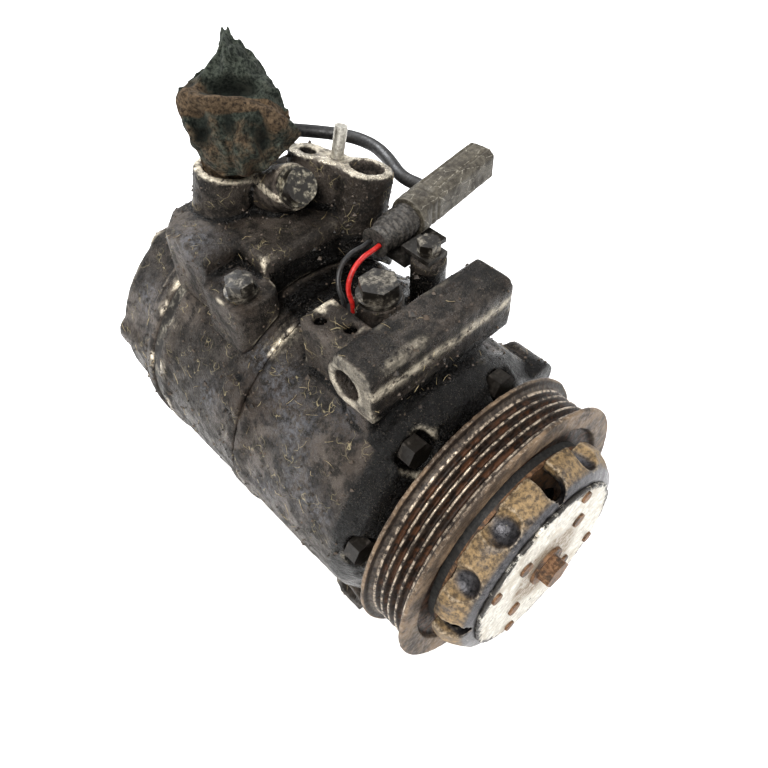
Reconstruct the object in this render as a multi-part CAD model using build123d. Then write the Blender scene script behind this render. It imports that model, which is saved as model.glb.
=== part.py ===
from build123d import *
import math
import os

# Belt-driven swash-plate refrigerant compressor, in millimetres.
# The shaft lies along Y with the pulley at the front, towards -Y, and Z is up.
# The origin is on the shaft axis, in the middle plane of the belt.

# ---- driving dimensions: body -------------------------------------------------
body_radius = 57.6
wall = 3.7                    # around the crank chamber
band_height = 1.0             # raised joint bands around the body
house_front = 14.5            # front face of the front housing
chamber_floor = 28.0
block_front = 88.0            # joint of front housing and cylinder block
block_length = 55.0
rear_length = 33.2
rear_wall = 7.0
rear_rise = 1.6               # of the rear housing's round above the shaft
reed_thickness = 0.6
valve_plate_thickness = 3.0
seal_thickness = 0.7

# ---- driving dimensions: shaft and pulley --------------------------------------
shaft_radius = 9.0
running = 0.04                # radial clearance of a shaft in its bearing
belt_width = 18.0
groove_pitch = 3.56
groove_count = 4
groove_depth = 2.9
rib_radius = 55.0
flange_radius = 58.5
flange_thickness = 1.6
rim_wall = 3.2                # metal left under the grooves
web_thickness = 4.0
bearing_bore = 20.0           # radius on the housing nose
bearing_outer = 33.0          # radius in the pulley
bearing_width = 17.0
ball_radius = 3.4
ball_count = 12
race_wall = 4.0

# ---- driving dimensions: hub ---------------------------------------------------
cup_radius = 44.35
cup_face = -25.5
cup_rear = -12.6
cup_wall = 3.4
cup_bulge = 1.6               # of the skirt towards the pulley
slot_width = 9.0
slot_count = 4
flute_radius = 7.0
flute_front, flute_rear = 4.2, 2.0    # depth at the two ends of a flute
flute_wall = 2.4
disc_radius = 37.5
disc_thickness = 1.5
boss_radius = 12.0
rivet_circle = 21.0
pin_circle = 33.5

# ---- driving dimensions: swash plate and pistons -------------------------------
piston_count = 7
bolt_edge = 7.6               # from the through bolts' circle to the outside
bolt_to_piston = 12.0         # between the circles of bolts and pistons
bore_wall = 4.9               # between two cylinder bores
swash_back = 26.0             # from the swash plate to the cylinder block
swash_thickness = 6.0
swash_edge = 7.4              # plate beyond the pistons' circle
swash_hub_wall = 7.5
tilt_limit = 15.0             # degrees
shoe_radius = 8.2
shoe_rim = 7.2
shoe_gap = 0.14               # between a shoe and the plate
yoke_gap = 6.4                # half the opening of the piston's yoke
yoke_wall = 5.0
yoke_width = 13.0
head_gap = 0.8                # above the piston at the end of its stroke
bolt_radius = 3.0
bolt_hole = 3.4

# ---- driving dimensions: mounting lugs -----------------------------------------
upper_half = 33.5
upper_y, upper_rise, upper_bore = 41.0, 14.1, 5.7
upper_cap = 12.8              # from the bore's axis to the top of the bar
lower_left, lower_right = -44.0, 34.0
lower_y, lower_drop, lower_bore = 38.9, 1.9, 4.9
lug_radius = 9.5
rear_lug_half = 22.0
foot_land = 0.5               # flat under the round of a lower lug

# ---- driving dimensions: port block, heights above the body --------------------
port_lean = 15.0              # degrees that the port faces lean to the right
block_rise = 18.4
suction_rise, suction_outer, suction_bore = 28.4, 13.3, 9.5
plate_rise, plate_radius, discharge_bore = 39.4, 10.8, 6.6
rear_lobe_radius = 8.0
stud_radius, stud_height, stud_shank = 2.6, 12.5, 2.2
relief_radius, relief_tilt = 6.5, 60.0
corner_screw = 3.0
passage_radius = 3.5
port_depth = 24.0

# ---- worked out from the above -------------------------------------------------
gap = 0.3                     # between parts that pass each other
bolt_circle = body_radius - bolt_edge
piston_circle = bolt_circle - bolt_to_piston
bore_radius = piston_circle * math.sin(math.pi / piston_count) - bore_wall / 2
swash_y = block_front - swash_back
swash_radius = piston_circle + swash_edge
block_rear = block_front + block_length
suction_reed_y = block_rear + seal_thickness
valve_plate_y = suction_reed_y + reed_thickness
discharge_reed_y = valve_plate_y + valve_plate_thickness
rear_seal_y = discharge_reed_y + reed_thickness
rear_front = rear_seal_y + seal_thickness
rear_end = rear_front + rear_length
chamber_radius = body_radius - wall
tilt = math.radians(tilt_limit)
half_stroke = piston_circle * math.tan(tilt)
piston_top = block_rear - half_stroke - head_gap
ball_circle = (bearing_bore + bearing_outer) / 2
bearing_front = -bearing_width / 2 + 1
bearing_rear = bearing_front + bearing_width
upper_z = body_radius + upper_rise
upper_top = upper_z + upper_cap
lower_z = -body_radius - lower_drop
foot_z = lower_z - lug_radius - foot_land
rear_lug_y = rear_front + 11.5
block_top = body_radius + block_rise
suction_rim = body_radius + suction_rise
plate_height = body_radius + plate_rise
suction_at, discharge_at = (-24.5, rear_front - 2.1), (11.5, rear_front - 42.6)
rear_lobe_at, stud_at = (0.5, rear_front - 20.1), (6.7, rear_front - 30.1)
relief_at = (8.1, rear_front - 32.6, body_radius + 33.3)
corner_bolts = [(-29.0, rear_front - 43.6, body_radius + 10.4), (40.0, rear_front - 36.6, body_radius + 0.4)]


def along(axis, radius, low, high, a=0, b=0):
    """A cylinder along x, y or z from low to high, its axis at a, b of the other two."""
    middle, length = (low + high) / 2, high - low
    if axis == "x":
        return Pos(middle, a, b) * Rot(0, 90, 0) * Cylinder(radius, length)
    if axis == "y":
        return Pos(a, middle, b) * Rot(90, 0, 0) * Cylinder(radius, length)
    return Pos(a, b, middle) * Cylinder(radius, length)


def ring(outer, inner, low, high):
    """A ring about the shaft."""
    return along("y", outer, low, high) - along("y", inner, low - 1, high + 1)


def block(x, y, z):
    """A box between the two values of each pair."""
    centre = [(low + high) / 2 for low, high in (x, y, z)]
    return Pos(*centre) * Box(x[1] - x[0], y[1] - y[0], z[1] - z[0])


def turned(points):
    """The solid that a profile of (y, radius) points sweeps about the shaft."""
    outline = Polyline(*[(radius, y) for y, radius in points], close=True)
    return revolve(make_face(outline), Axis.Y)


def polar(count, radius, start=90.0):
    """Count places around the shaft, as (x, z, angle)."""
    for k in range(count):
        angle = start + 360 / count * k
        a = math.radians(angle)
        yield radius * math.cos(a), radius * math.sin(a), angle


def hexagon_y(flats, low, high, x=0, z=0):
    """A hexagonal prism along Y."""
    face = RegularPolygon(flats / 2, 6, major_radius=False)
    return Pos(x, high, z) * Rot(90, 0, 0) * extrude(face, high - low)


def hexagon_z(flats, low, high, x, y):
    """A hexagonal prism along Z."""
    return Pos(x, y, low) * extrude(RegularPolygon(flats / 2, 6, major_radius=False), high - low)


def leaned(shape):
    """A shape of the port block's own frame, in the part's frame."""
    return Rot(0, port_lean, 0) * shape


def without(shape, tools):
    """A shape with a list of tools cut from it."""
    return shape - list(tools)


def group(shapes):
    """Separate solids that share one node."""
    return Compound(children=[part for shape in shapes for part in shape.solids()])


bolt_places = list(polar(piston_count, bolt_circle, 90 + 180 / piston_count))
bore_places = list(polar(piston_count, piston_circle))
nodes = {}


web_front = bearing_front - 0.5


# ---- pulley and its bearing ----------------------------------------------------
def pulley():
    """Grooved rim with two flanges, a web and a hub tube around the bearing."""
    half = belt_width / 2
    outer = [(-half - flange_thickness, flange_radius), (-half, flange_radius)]
    crest = (groove_pitch - 2 * groove_depth * math.tan(math.radians(20))) / 2
    start = -groove_pitch * groove_count / 2
    outer.append((-half, rib_radius))
    for k in range(groove_count):
        y = start + groove_pitch * (k + 0.5)
        mouth, root = groove_pitch / 2 - crest / 2, crest / 2
        outer += [(y - mouth, rib_radius), (y - root, rib_radius - groove_depth)]
        outer += [(y + root, rib_radius - groove_depth), (y + mouth, rib_radius)]
    outer += [(half, rib_radius), (half, flange_radius), (half + flange_thickness, flange_radius)]
    inner = rib_radius - groove_depth - rim_wall
    tube = bearing_outer + race_wall
    outer += [(half + flange_thickness, inner), (web_front + web_thickness, inner)]
    outer += [(web_front + web_thickness, tube), (bearing_rear, tube), (bearing_rear, bearing_outer)]
    outer += [(web_front, bearing_outer), (web_front, inner), (-half - flange_thickness, inner + 1)]
    return turned(outer)


def races():
    """The grooved inner and outer races."""
    groove = Pos(0, (bearing_front + bearing_rear) / 2, 0) * Rot(90, 0, 0)
    groove *= Torus(ball_circle, ball_radius + running)
    inner = ring(bearing_bore + race_wall, bearing_bore, bearing_front, bearing_rear)
    outer = ring(bearing_outer, bearing_outer - race_wall, bearing_front, bearing_rear)
    return inner - groove, outer - groove


def balls_and_cage():
    """The bearing's balls, and the cage that holds them apart."""
    middle = (bearing_front + bearing_rear) / 2
    places = list(polar(ball_count, ball_circle))
    balls = [Pos(x, middle, z) * Sphere(ball_radius) for x, z, _ in places]
    pockets = [Pos(x, middle, z) * Sphere(ball_radius + gap) for x, z, _ in places]
    reach = ball_radius + 1.6
    cage = ring(ball_circle + 1, ball_circle - 1, middle - reach, middle + reach)
    return group(balls), without(cage, pockets)


nodes["belt_pulley"] = pulley()
nodes["bearing_inner_race"], nodes["bearing_outer_race"] = races()
nodes["bearing_balls"], nodes["bearing_cage"] = balls_and_cage()


# ---- hub -----------------------------------------------------------------------
hub_depth = 3.0
rivet_radius, pin_radius = 2.0, 1.6
face_front = cup_face - disc_thickness
boss_rear = bearing_front - 5.2


def hub_cup():
    """The stamped crown: a face and a bulged skirt, with four slots and two flutes between slots."""
    inside = cup_radius - cup_wall
    crown = turned([
        (cup_face, 0), (cup_face, cup_radius - 5.5), (cup_face + 1.4, cup_radius - 2.2), (cup_face + 4.5, cup_radius),
        (cup_face + 8, cup_radius + cup_bulge), (cup_rear, cup_radius + cup_bulge), (cup_rear, 0),
    ])
    hollow = turned([
        (cup_face + hub_depth, 0), (cup_face + hub_depth, inside - 5), (cup_face + hub_depth + 3, inside),
        (cup_rear + 1, inside), (cup_rear + 1, 0),
    ])
    slot = block((cup_radius - 8, cup_radius + 5), (cup_face + 5, 0), (-slot_width / 2, slot_width / 2))
    slot += along("x", slot_width / 2, cup_radius - 8, cup_radius + 5, cup_face + 5, 0)
    turns = [3 - 360 / slot_count * k for k in range(slot_count)]
    flute_turns = [turn - angle for turn in turns for angle in (30, 60)]
    hollow = without(hollow, [Rot(0, turn, 0) * flute(flute_wall) for turn in flute_turns])
    tools = [Rot(0, turn, 0) * slot for turn in turns] + [Rot(0, turn, 0) * flute(0) for turn in flute_turns]
    rivets = [along("y", rivet_radius, cup_face - 1, 0, x, z) for x, z, _ in polar(4, rivet_circle, 42)]
    pins = [along("y", pin_radius, cup_face - 1, 0, x, z) for x, z, _ in polar(4, pin_circle, 62)]
    middle = along("y", boss_radius, cup_face - 1, 0)
    return without(crown, [hollow, middle] + tools + rivets + pins)


def flute(around):
    """A round-ended groove along the skirt, deeper towards the face, with a margin around it."""
    front = Vector(cup_radius + flute_radius - flute_front, cup_face + 6.5, 0)
    rear = Vector(cup_radius + cup_bulge + flute_radius - flute_rear, cup_rear, 0)
    way = rear - front
    groove = Plane(origin=front, z_dir=way) * Pos(0, 0, way.length) * Cylinder(flute_radius + around, 2 * way.length)
    return groove + Pos(*front) * Sphere(flute_radius + around)


def hub_boss():
    """The splined boss on the shaft, with the flange that the crown is riveted to."""
    flange = cup_face + hub_depth
    boss = along("y", boss_radius, cup_face, boss_rear)
    boss += along("y", rivet_circle + 5, flange, flange + 3)
    rivets = [along("y", rivet_radius, cup_face, 0, x, z) for x, z, _ in polar(4, rivet_circle, 42)]
    return without(boss, [along("y", shaft_radius, cup_face + 4, 0)] + rivets + [bolt_way()])


def bolt_way():
    """The way of the centre bolt through face disc and boss."""
    return along("y", 4.1, face_front - 1, cup_face + 5)


def hub_face_disc():
    """The worn disc on the face of the crown."""
    disc = along("y", disc_radius, face_front, cup_face)
    holes = [along("y", rivet_radius, face_front - 1, 0, x, z) for x, z, _ in polar(4, rivet_circle, 42)]
    holes += [along("y", pin_radius, face_front - 1, 0, x, z) for x, z, _ in polar(4, pin_circle, 62)]
    return without(disc, holes + [bolt_way()])


def rivets(count_radius, start, radius, head, front, rear):
    """Rivets or pins with a domed head at the front."""
    out = []
    for x, z, _ in polar(4, count_radius, start):
        out.append(along("y", radius, front, rear, x, z) + along("y", head, front - 0.9, front, x, z))
    return group(out)


nodes["hub_cup"] = hub_cup()
nodes["hub_boss"] = hub_boss()
nodes["hub_face_disc"] = hub_face_disc()
inner_rivets = rivets(rivet_circle, 42, rivet_radius, 3.0, face_front, cup_face + hub_depth + 3)
outer_pins = rivets(pin_circle, 62, pin_radius, 2.4, face_front, cup_face + hub_depth)
nodes["hub_rivets"] = group([inner_rivets, outer_pins])
nodes["centre_washer"] = ring(8.5, 4.0, face_front - 1.2, face_front)
centre_bolt = along("y", 4.0, face_front - 1.2, cup_face + 18)
nodes["centre_bolt"] = centre_bolt + hexagon_y(11, face_front - 6, face_front - 1.2)

# The limiter plate carries the drive from the damper ring to the crown, with a tab in each slot.
tab_front = cup_rear
limiter = ring(cup_radius - cup_wall + 1.5, boss_radius + 12.5, tab_front, tab_front + 1.4)
nodes["limiter_plate"] = limiter
damper_outer = cup_radius - 2
nodes["damper_ring"] = ring(damper_outer, bearing_outer + 1, tab_front + 1.4, web_front)

# ---- front housing -------------------------------------------------------------
seal_radius, nose_radius_bearing = 15.0, 13.0
nose_front = bearing_front - 4.7
seat_front, seat_rear = 6.0, chamber_floor - 4
bar_front, bar_rear = upper_y - 12.8, upper_y + 5.7
boss_one, boss_two = (2.0, 63.0, body_radius + 16.9), (30.0, 66.0, body_radius + 16.9)
pad_x, pad_y, pad_top = (-26.0, -10.0), (bar_rear - 2, 74.0), body_radius + 16.9
pad_holes = [(-20.6, 68.5), (-16.0, 58.0)]


def front_shell():
    """The turned outside and crank chamber of the front housing."""
    outside = turned([
        (nose_front, 0), (nose_front, bearing_bore), (house_front, bearing_bore),
        (house_front, body_radius - 13), (house_front + 5, body_radius - 5),
        (house_front + 13, body_radius), (block_front, body_radius), (block_front, 0),
    ])
    return outside + ring(body_radius + band_height, body_radius - 1, block_front - 5, block_front)


def crank_chamber():
    """The hollow inside the front housing, from the seal seat back."""
    return turned([
        (nose_front - 1, 0), (nose_front - 1, seal_radius), (seat_front, seal_radius),
        (seat_front, nose_radius_bearing), (chamber_floor, nose_radius_bearing),
        (chamber_floor, chamber_radius - 10), (chamber_floor + 7, chamber_radius),
        (block_front + 1, chamber_radius), (block_front + 1, 0),
    ])


def upper_lug():
    """The bar along the top with its cross bore, on a web with two pockets."""
    bar = block((-upper_half, upper_half), (bar_front, bar_rear), (upper_z - 9, upper_top))
    bar = fillet(bar.edges().filter_by(Axis.X).group_by(Axis.Z)[-1], 4)
    web = block((-upper_half + 3, upper_half - 6), (bar_front + 5, bar_rear), (40, upper_z - 8))
    pocket = block((3, upper_half - 10), (bar_front, bar_front + 14), (body_radius + 0.6, upper_z - 9))
    pockets = [pocket, mirror(pocket, Plane.YZ)]
    ends = along("x", lug_radius, -upper_half, upper_half, upper_y, upper_z)
    return without(bar + web + ends, pockets)


def lower_lug():
    """The lower front bar with its cross bore and a flat foot."""
    bar = along("x", lug_radius, lower_left, lower_right, lower_y, lower_z)
    bar += block((lower_left, lower_right), (lower_y - 7, lower_y + 7), (foot_z, lower_z))
    return bar + block((lower_left + 9, lower_right), (lower_y - 8, lower_y + 9), (lower_z, 16 - body_radius))


def front_housing():
    """Front housing with its lugs, bolt pockets, bosses and bores."""
    body = front_shell() + upper_lug() + lower_lug()
    low = body_radius - 14
    body += block(pad_x, pad_y, (low, pad_top))
    body += [along("z", 9, low, boss_one[2], *boss_one[:2]), along("z", 7, low, boss_two[2], *boss_two[:2])]
    body += along("y", 9, house_front + 6, house_front + 26, body_radius - 7.6, 23.0)
    tools = [crank_chamber(), snap_groove()]
    for x, z, _ in bolt_places:
        tools.append(along("y", bolt_hole, 0, chamber_floor + 9, x, z))
        tools.append(along("y", 7.5, 0, house_front + 9, x * 1.03, z * 1.03))
    tools.append(along("x", upper_bore, -upper_half - 1, upper_half + 1, upper_y, upper_z))
    tools.append(along("x", lower_bore, lower_left - 1, lower_right + 1, lower_y, lower_z))
    tools += [along("z", 2.6, pad_top - 10, pad_top + 1, x, y) for x, y in pad_holes]
    tools += [along("z", 4.0, boss_one[2] - 14, 90, *boss_one[:2])]
    tools += [along("z", 3.0, boss_two[2] - 14, 90, *boss_two[:2])]
    return without(body, tools)


def snap_groove():
    """The groove of the ring that keeps the bearing on the nose."""
    return ring(bearing_bore + 1, bearing_bore - 1.4, bearing_front - 1.6, bearing_front)


nodes["front_housing"] = front_housing()
nodes["bearing_snap_ring"] = ring(bearing_bore + 2.2, bearing_bore - 1.4, bearing_front - 1.6, bearing_front)
nodes["shaft_seal"] = ring(seal_radius, shaft_radius + running, nose_front + 3, seat_front)
nodes["front_radial_bearing"] = ring(nose_radius_bearing, shaft_radius + running, seat_front + 1, seat_rear)
nodes["front_thrust_bearing"] = ring(24, nose_radius_bearing, chamber_floor, chamber_floor + 3)

# ---- shaft and lug plate -------------------------------------------------------
lug_plate_y = chamber_floor + 3 + gap
shaft = along("y", shaft_radius, cup_face + 4, block_rear - 10)
shaft -= along("y", 4.0, cup_face + 3, cup_face + 18)
nodes["drive_shaft"] = shaft
lug_plate = ring(34, shaft_radius, lug_plate_y, lug_plate_y + 7)
nodes["lug_plate"] = lug_plate + ring(18, shaft_radius, lug_plate_y + 7, lug_plate_y + 10)

# ---- swash plate, pistons and shoes --------------------------------------------
swash_hole = (shaft_radius + gap) / math.cos(tilt) + 7 * math.tan(tilt)
swash_hub = swash_hole + swash_hub_wall
swash = along("y", swash_radius, swash_y - swash_thickness / 2, swash_y + swash_thickness / 2)
swash += along("y", swash_hub, swash_y - 7, swash_y + 7)
nodes["swash_plate"] = swash - along("y", swash_hole, swash_y - 8, swash_y + 8)


def piston(x, z, angle):
    """A single-headed piston: a yoke that straddles the swash plate, and a head in its bore."""
    outer = body_radius - wall - gap * 4
    far = outer - piston_circle
    near = swash_radius + gap * 3 - piston_circle
    front = swash_y - yoke_gap - yoke_wall
    neck = swash_y + yoke_gap + yoke_wall
    inside = swash_hub + 8 - piston_circle
    body = block((inside, far), (front, neck), (-yoke_width / 2, yoke_width / 2))
    body -= block((inside - 1, near), (swash_y - yoke_gap, swash_y + yoke_gap), (-yoke_width, yoke_width))
    body -= Pos(0, swash_y, 0) * Sphere(shoe_radius + running)
    body += along("y", bore_radius - running, neck - 1, piston_top)
    body &= along("y", outer, front - 1, piston_top + 1, -piston_circle, 0)
    body -= ring(bore_radius + 1, bore_radius - 5, neck + 5, piston_top - 20)
    return Pos(x, 0, z) * Rot(0, -angle, 0) * body


def shoes(x, z):
    """The two shoes of one piston, each part of a ball with a flat on the plate."""
    flat = swash_thickness / 2 + shoe_gap
    ball = Sphere(shoe_radius) - block((-20, 20), (-flat, flat), (-20, 20))
    trim = along("y", shoe_rim, -20, 20)
    return Pos(x, swash_y, z) * (ball & trim)


for k, (x, z, angle) in enumerate(bore_places, 1):
    nodes[f"piston_{k}"] = piston(x, z, angle)
    nodes[f"piston_shoes_{k}"] = group([shoes(x, z)])

# ---- cylinder block and valve plates -------------------------------------------
rear_seat = block_rear - 26


def bolt_holes(low, high, radius):
    """Holes or shanks on the circle of the through bolts."""
    return [along("y", radius, low, high, x, z) for x, z, _ in bolt_places]


def cylinder_block():
    """The block with seven bores, a seat for the rear bearing and the seal groove at the front."""
    body = along("y", body_radius, block_front, block_rear)
    body += ring(body_radius + band_height, body_radius - 1, block_front, block_front + 5)
    body += ring(body_radius + band_height, body_radius - 1, block_rear - 4, block_rear)
    for angle in (145, 25, 215):
        a = math.radians(angle)
        pad = block((-6, 6), (block_front, block_front + 12), (-9, 2.6))
        x, z = body_radius * math.cos(a), body_radius * math.sin(a)
        body += Pos(x, 0, z) * Rot(0, 90 - angle, 0) * pad
    tools = [along("y", bore_radius, block_front - 1, block_rear + 1, x, z) for x, z, _ in bore_places]
    tools += bolt_holes(block_front - 1, block_rear + 1, bolt_hole)
    tools.append(along("y", shaft_radius + 4, rear_seat, block_rear - 6))
    tools.append(along("y", shaft_radius + gap * 3, block_front - 1, block_rear - 5))
    tools.append(seal_space())
    tools += [along("z", corner_screw, top - 21, top + 30, x, y) for x, y, top in corner_bolts]
    return without(body, tools)


def seal_space():
    """The groove of the ring that seals housing and block."""
    return ring(body_radius - 0.9, body_radius - 2.9, block_front, block_front + 1.6)


nodes["cylinder_block"] = cylinder_block()
nodes["housing_seal_ring"] = seal_space()
nodes["rear_radial_bearing"] = ring(shaft_radius + 4, shaft_radius + running, rear_seat, block_rear - 7)


def plate(low, thickness, port_radius, ports_per_bore, radius=body_radius):
    """A round plate with bolt holes and a port or two at each bore."""
    disc = along("y", radius, low, low + thickness)
    tools = bolt_holes(low - 1, low + thickness + 1, bolt_hole)
    for x, z, _ in bore_places:
        tools += [along("y", port_radius, low - 1, low + thickness + 1, x * s, z * s)
                  for s in ports_per_bore]
    return without(disc, tools)


def reed_plate(low, reach):
    """A thin plate with a U-shaped cut around the tongue at each bore."""
    disc = plate(low, reed_thickness, 0.8, ())
    for _, _, angle in bore_places:
        cut = ring(5.0, 4.0, low - 1, low + 2) - block((-9, -2), (low - 2, low + 3), (-9, 9))
        disc -= Rot(0, -angle, 0) * Pos(reach, 0, 0) * cut
    return disc


suction_share, discharge_share = 1.17, 0.72
nodes["block_gasket"] = plate(block_rear, seal_thickness, bore_radius - 1, (1.0,))
nodes["suction_reed_plate"] = reed_plate(suction_reed_y, piston_circle * suction_share)
nodes["valve_plate"] = plate(valve_plate_y, valve_plate_thickness, 3.0, (discharge_share, suction_share))
nodes["discharge_reed_plate"] = reed_plate(discharge_reed_y, piston_circle * discharge_share)
nodes["rear_gasket"] = plate(rear_seal_y, seal_thickness, 5.0, (discharge_share, suction_share))

# ---- rear housing --------------------------------------------------------------
divider = 3.5
inner_radius, outer_inner, outer_radius = 31.5, 35.0, body_radius - 11.5
chamber_depth = rear_length - rear_wall
suction_way, discharge_way = (-8.0, rear_front + 6.0), (26.0, rear_front + 6.0)
valve_at, valve_radius, valve_top = (7.0, rear_front + 21.5), 8.0, body_radius + 9


def rear_housing():
    """Rear housing with an outer suction chamber, an inner discharge chamber and bolt lobes."""
    core = along("y", body_radius - 3.0, rear_front, rear_end, 0, rear_rise)
    core = fillet(core.edges().group_by(Axis.Y)[-1], 5)
    body = core + ring(body_radius, body_radius - 8, rear_front, rear_front + 9)
    body += ring(body_radius + band_height, body_radius - 2, rear_front, rear_front + 4)
    body += [along("y", 8.2, rear_front, rear_end - 1.5, x * 0.985, z * 0.985) for x, z, _ in bolt_places]
    body += along("z", valve_radius + 3, 20, body_radius + 3, *valve_at)
    lug = along("x", lug_radius, -rear_lug_half, rear_lug_half, rear_lug_y, lower_z)
    lug += block((-rear_lug_half, rear_lug_half), (rear_lug_y - 7, rear_lug_y + 7), (foot_z, 18 - body_radius))
    body += lug
    inner = along("y", inner_radius, rear_front - 1, rear_front + chamber_depth - 4)
    outer = ring(outer_radius, outer_inner, rear_front - 1, rear_front + chamber_depth - 8)
    spoke = block((18, 34), (rear_front - 2, rear_end), (0, body_radius))
    post = along("z", valve_radius + 3, 18, body_radius, *valve_at)
    tools = [inner - post, outer - spoke - post]
    tools += bolt_holes(rear_front - 1, rear_front + 20, bolt_radius)
    tools.append(along("z", passage_radius, body_radius - 16, body_radius + 9, *suction_way))
    tools.append(along("z", passage_radius, 22, body_radius + 9, *discharge_way))
    tools.append(along("z", valve_radius, 22, valve_top, *valve_at))
    tools.append(along("x", lower_bore, -rear_lug_half - 1, rear_lug_half + 1, rear_lug_y, lower_z))
    return without(body, tools)


def control_valve():
    """The capacity control valve, a stepped plug in its pocket with a collar and a cable gland."""
    x, y = valve_at
    body = along("z", valve_radius - 1, 24, body_radius + 3, x, y)
    for z in (27, 36, 45):
        body += along("z", valve_radius, z, z + 3, x, y)
    body += along("z", valve_radius + 2, body_radius + 3, body_radius + 7, x, y)
    return body + along("z", 5, body_radius + 7, valve_top, x, y)


nodes["rear_housing"] = rear_housing()
nodes["control_valve"] = control_valve()

bolts = [along("y", bolt_radius, house_front + 9, rear_front + 18, x, z) for x, z, _ in bolt_places]
heads = [hexagon_y(10, house_front + 3, house_front + 9, x, z) for x, z, _ in bolt_places]
nodes["through_bolts"] = group([shank + head for shank, head in zip(bolts, heads)])

# ---- port block ----------------------------------------------------------------

def relief(radius, low, high):
    """A cylinder on the relief valve's axis, measured outwards from its seat."""
    return Pos(*relief_at) * Rot(relief_tilt, 0, 0) * Pos(0, 0, (low + high) / 2) * Cylinder(radius, high - low)


def leaned_post(radius, low, high, at):
    """A cylinder square to the port faces."""
    return leaned(along("z", radius, low, high, *at))


def port_faces():
    """The peanut-shaped tower under the bright port face."""
    (fx, fy), (rx, ry) = discharge_at, rear_lobe_at
    low = body_radius + 4.4
    tower = along("z", plate_radius, low, plate_height, fx, fy)
    tower += along("z", rear_lobe_radius, low, plate_height, rx, ry)
    length = math.hypot(fx - rx, fy - ry)
    turn = math.degrees(math.atan2(ry - fy, rx - fx))
    bridge = Pos((fx + rx) / 2, (fy + ry) / 2, (low + plate_height) / 2) * Rot(0, 0, turn)
    tower += bridge * Box(length, rear_lobe_radius * 1.7, plate_height - low)
    lip = along("z", discharge_bore + 2, plate_height, plate_height + 0.6, fx, fy)
    return leaned(tower + lip)


def port_block():
    """The block that carries both ports, the relief valve and the stud."""
    low = body_radius - 19.6
    outline = [(-34, -0.6), (-34, -28.1), (-18, -28.1), (-18, -43.6), (24, -45), (40, -40.6), (40, 9.4), (-24, 9.4)]
    outline = [(x, rear_front + y) for x, y in outline]
    base = Pos(0, 0, low) * extrude(make_face(Polyline(*outline, close=True)), block_top - low)
    base = fillet(base.edges().group_by(Axis.Z)[-1], 3)
    body = base + port_faces() + leaned_post(suction_outer, body_radius - 2, suction_rim, suction_at)
    body += relief(relief_radius + 2.4, -26, 0)
    for x, y, top in corner_bolts:
        side = -1 if x < 0 else 1
        ear = block(sorted((x + side * 9, x - side * 12)), (y - 9, y + 16), (low, top))
        body += fillet(ear.edges().filter_by(Axis.Z), 5)
    tools = [along("y", body_radius + band_height, 0, rear_end + 40)]
    tools.append(leaned_post(suction_bore, suction_rim - port_depth, suction_rim + 1, suction_at))
    tools.append(leaned_post(discharge_bore, plate_height - port_depth, plate_height + 1, discharge_at))
    tools.append(leaned_post(stud_shank, plate_height - 10, plate_height + 1, stud_at))
    tools.append(leaned_post(3.3, plate_height - 9, plate_height + 1, rear_lobe_at))
    tools.append(relief(5, -12, 1))
    level = body_radius + 12.4
    tools.append(along("z", passage_radius, low, level, *suction_way))
    tools.append(along("z", passage_radius, low, level, *discharge_way))
    tools.append(along("y", passage_radius, discharge_at[1], discharge_way[1], discharge_way[0], level))
    tools += [along("z", corner_screw + 0.2, low - 1, top + 1, x, y) for x, y, top in corner_bolts]
    tools += [along("z", 8, top, top + 20, x, y) for x, y, top in corner_bolts]
    return without(body, tools)


def block_seat():
    """The curved gasket between the cylinder block and the port block."""
    shell = ring(body_radius + band_height, body_radius, rear_front - 39.6, block_rear - 4 - gap)
    return shell & block((-24, 31), (block_front, block_rear), (0, body_radius + 9))


nodes["port_block"] = port_block()
nodes["port_block_gasket"] = block_seat()
bolt_solids = []
for x, y, top in corner_bolts:
    screw = along("z", corner_screw, top - 20, top, x, y) + along("z", 6.5, top, top + 1.4, x, y)
    bolt_solids.append(screw + hexagon_z(10, top + 1.4, top + 6.4, x, y))
nodes["port_block_bolts"] = group(bolt_solids)
stud = leaned_post(stud_radius, plate_height, plate_height + stud_height, stud_at)
nodes["port_stud"] = stud + leaned_post(stud_shank, plate_height - 10, plate_height, stud_at)
relief_body = relief(5, -12, 0) + relief(relief_radius + 1.2, 0, 1.6)
nodes["relief_valve"] = relief_body + relief(relief_radius, 1.6, 6.0)

# ---- wiring --------------------------------------------------------------------
plug_at, plug_turn = (18.5, 83.0, body_radius + 19.4), 7.9
boot_radius, boot_length = 6.4, 20.0
plug_start, plug_end, plug_width, plug_height = 23.5, 70.0, 13.8, 14.6
collar_radius, plug_wall, socket_depth = 8.2, 1.8, 20.0
bracket_top = plug_at[2] - collar_radius - 0.1
sheet = 2.0
wire_radius, cable_radius = 1.0, 2.8


def beside_plug(shape):
    """A shape of the connector's own frame, in the part's frame."""
    return Pos(*plug_at) * Rot(0, 0, plug_turn) * shape


def connector():
    """The connector's box with an open mouth at its far end and a collar at the other."""
    half_y, half_z = plug_width / 2, plug_height / 2
    box = block((plug_start, plug_end), (-half_y, half_y), (-half_z, half_z))
    box = chamfer(box.edges().filter_by(Axis.X), 2.5)
    inner_y, inner_z = half_y - plug_wall, half_z - plug_wall
    box -= block((plug_end - socket_depth, plug_end + 1), (-inner_y, inner_y), (-inner_z, inner_z))
    return beside_plug(box + along("x", collar_radius, boot_length, plug_start))


def boot():
    """The rubber boot around the wires."""
    sleeve = along("x", boot_radius, 0, boot_length)
    holes = [along("x", wire_radius, -1, 6, y, 0) for y in (-2.2, 2.2)]
    return beside_plug(without(sleeve, holes))


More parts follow.
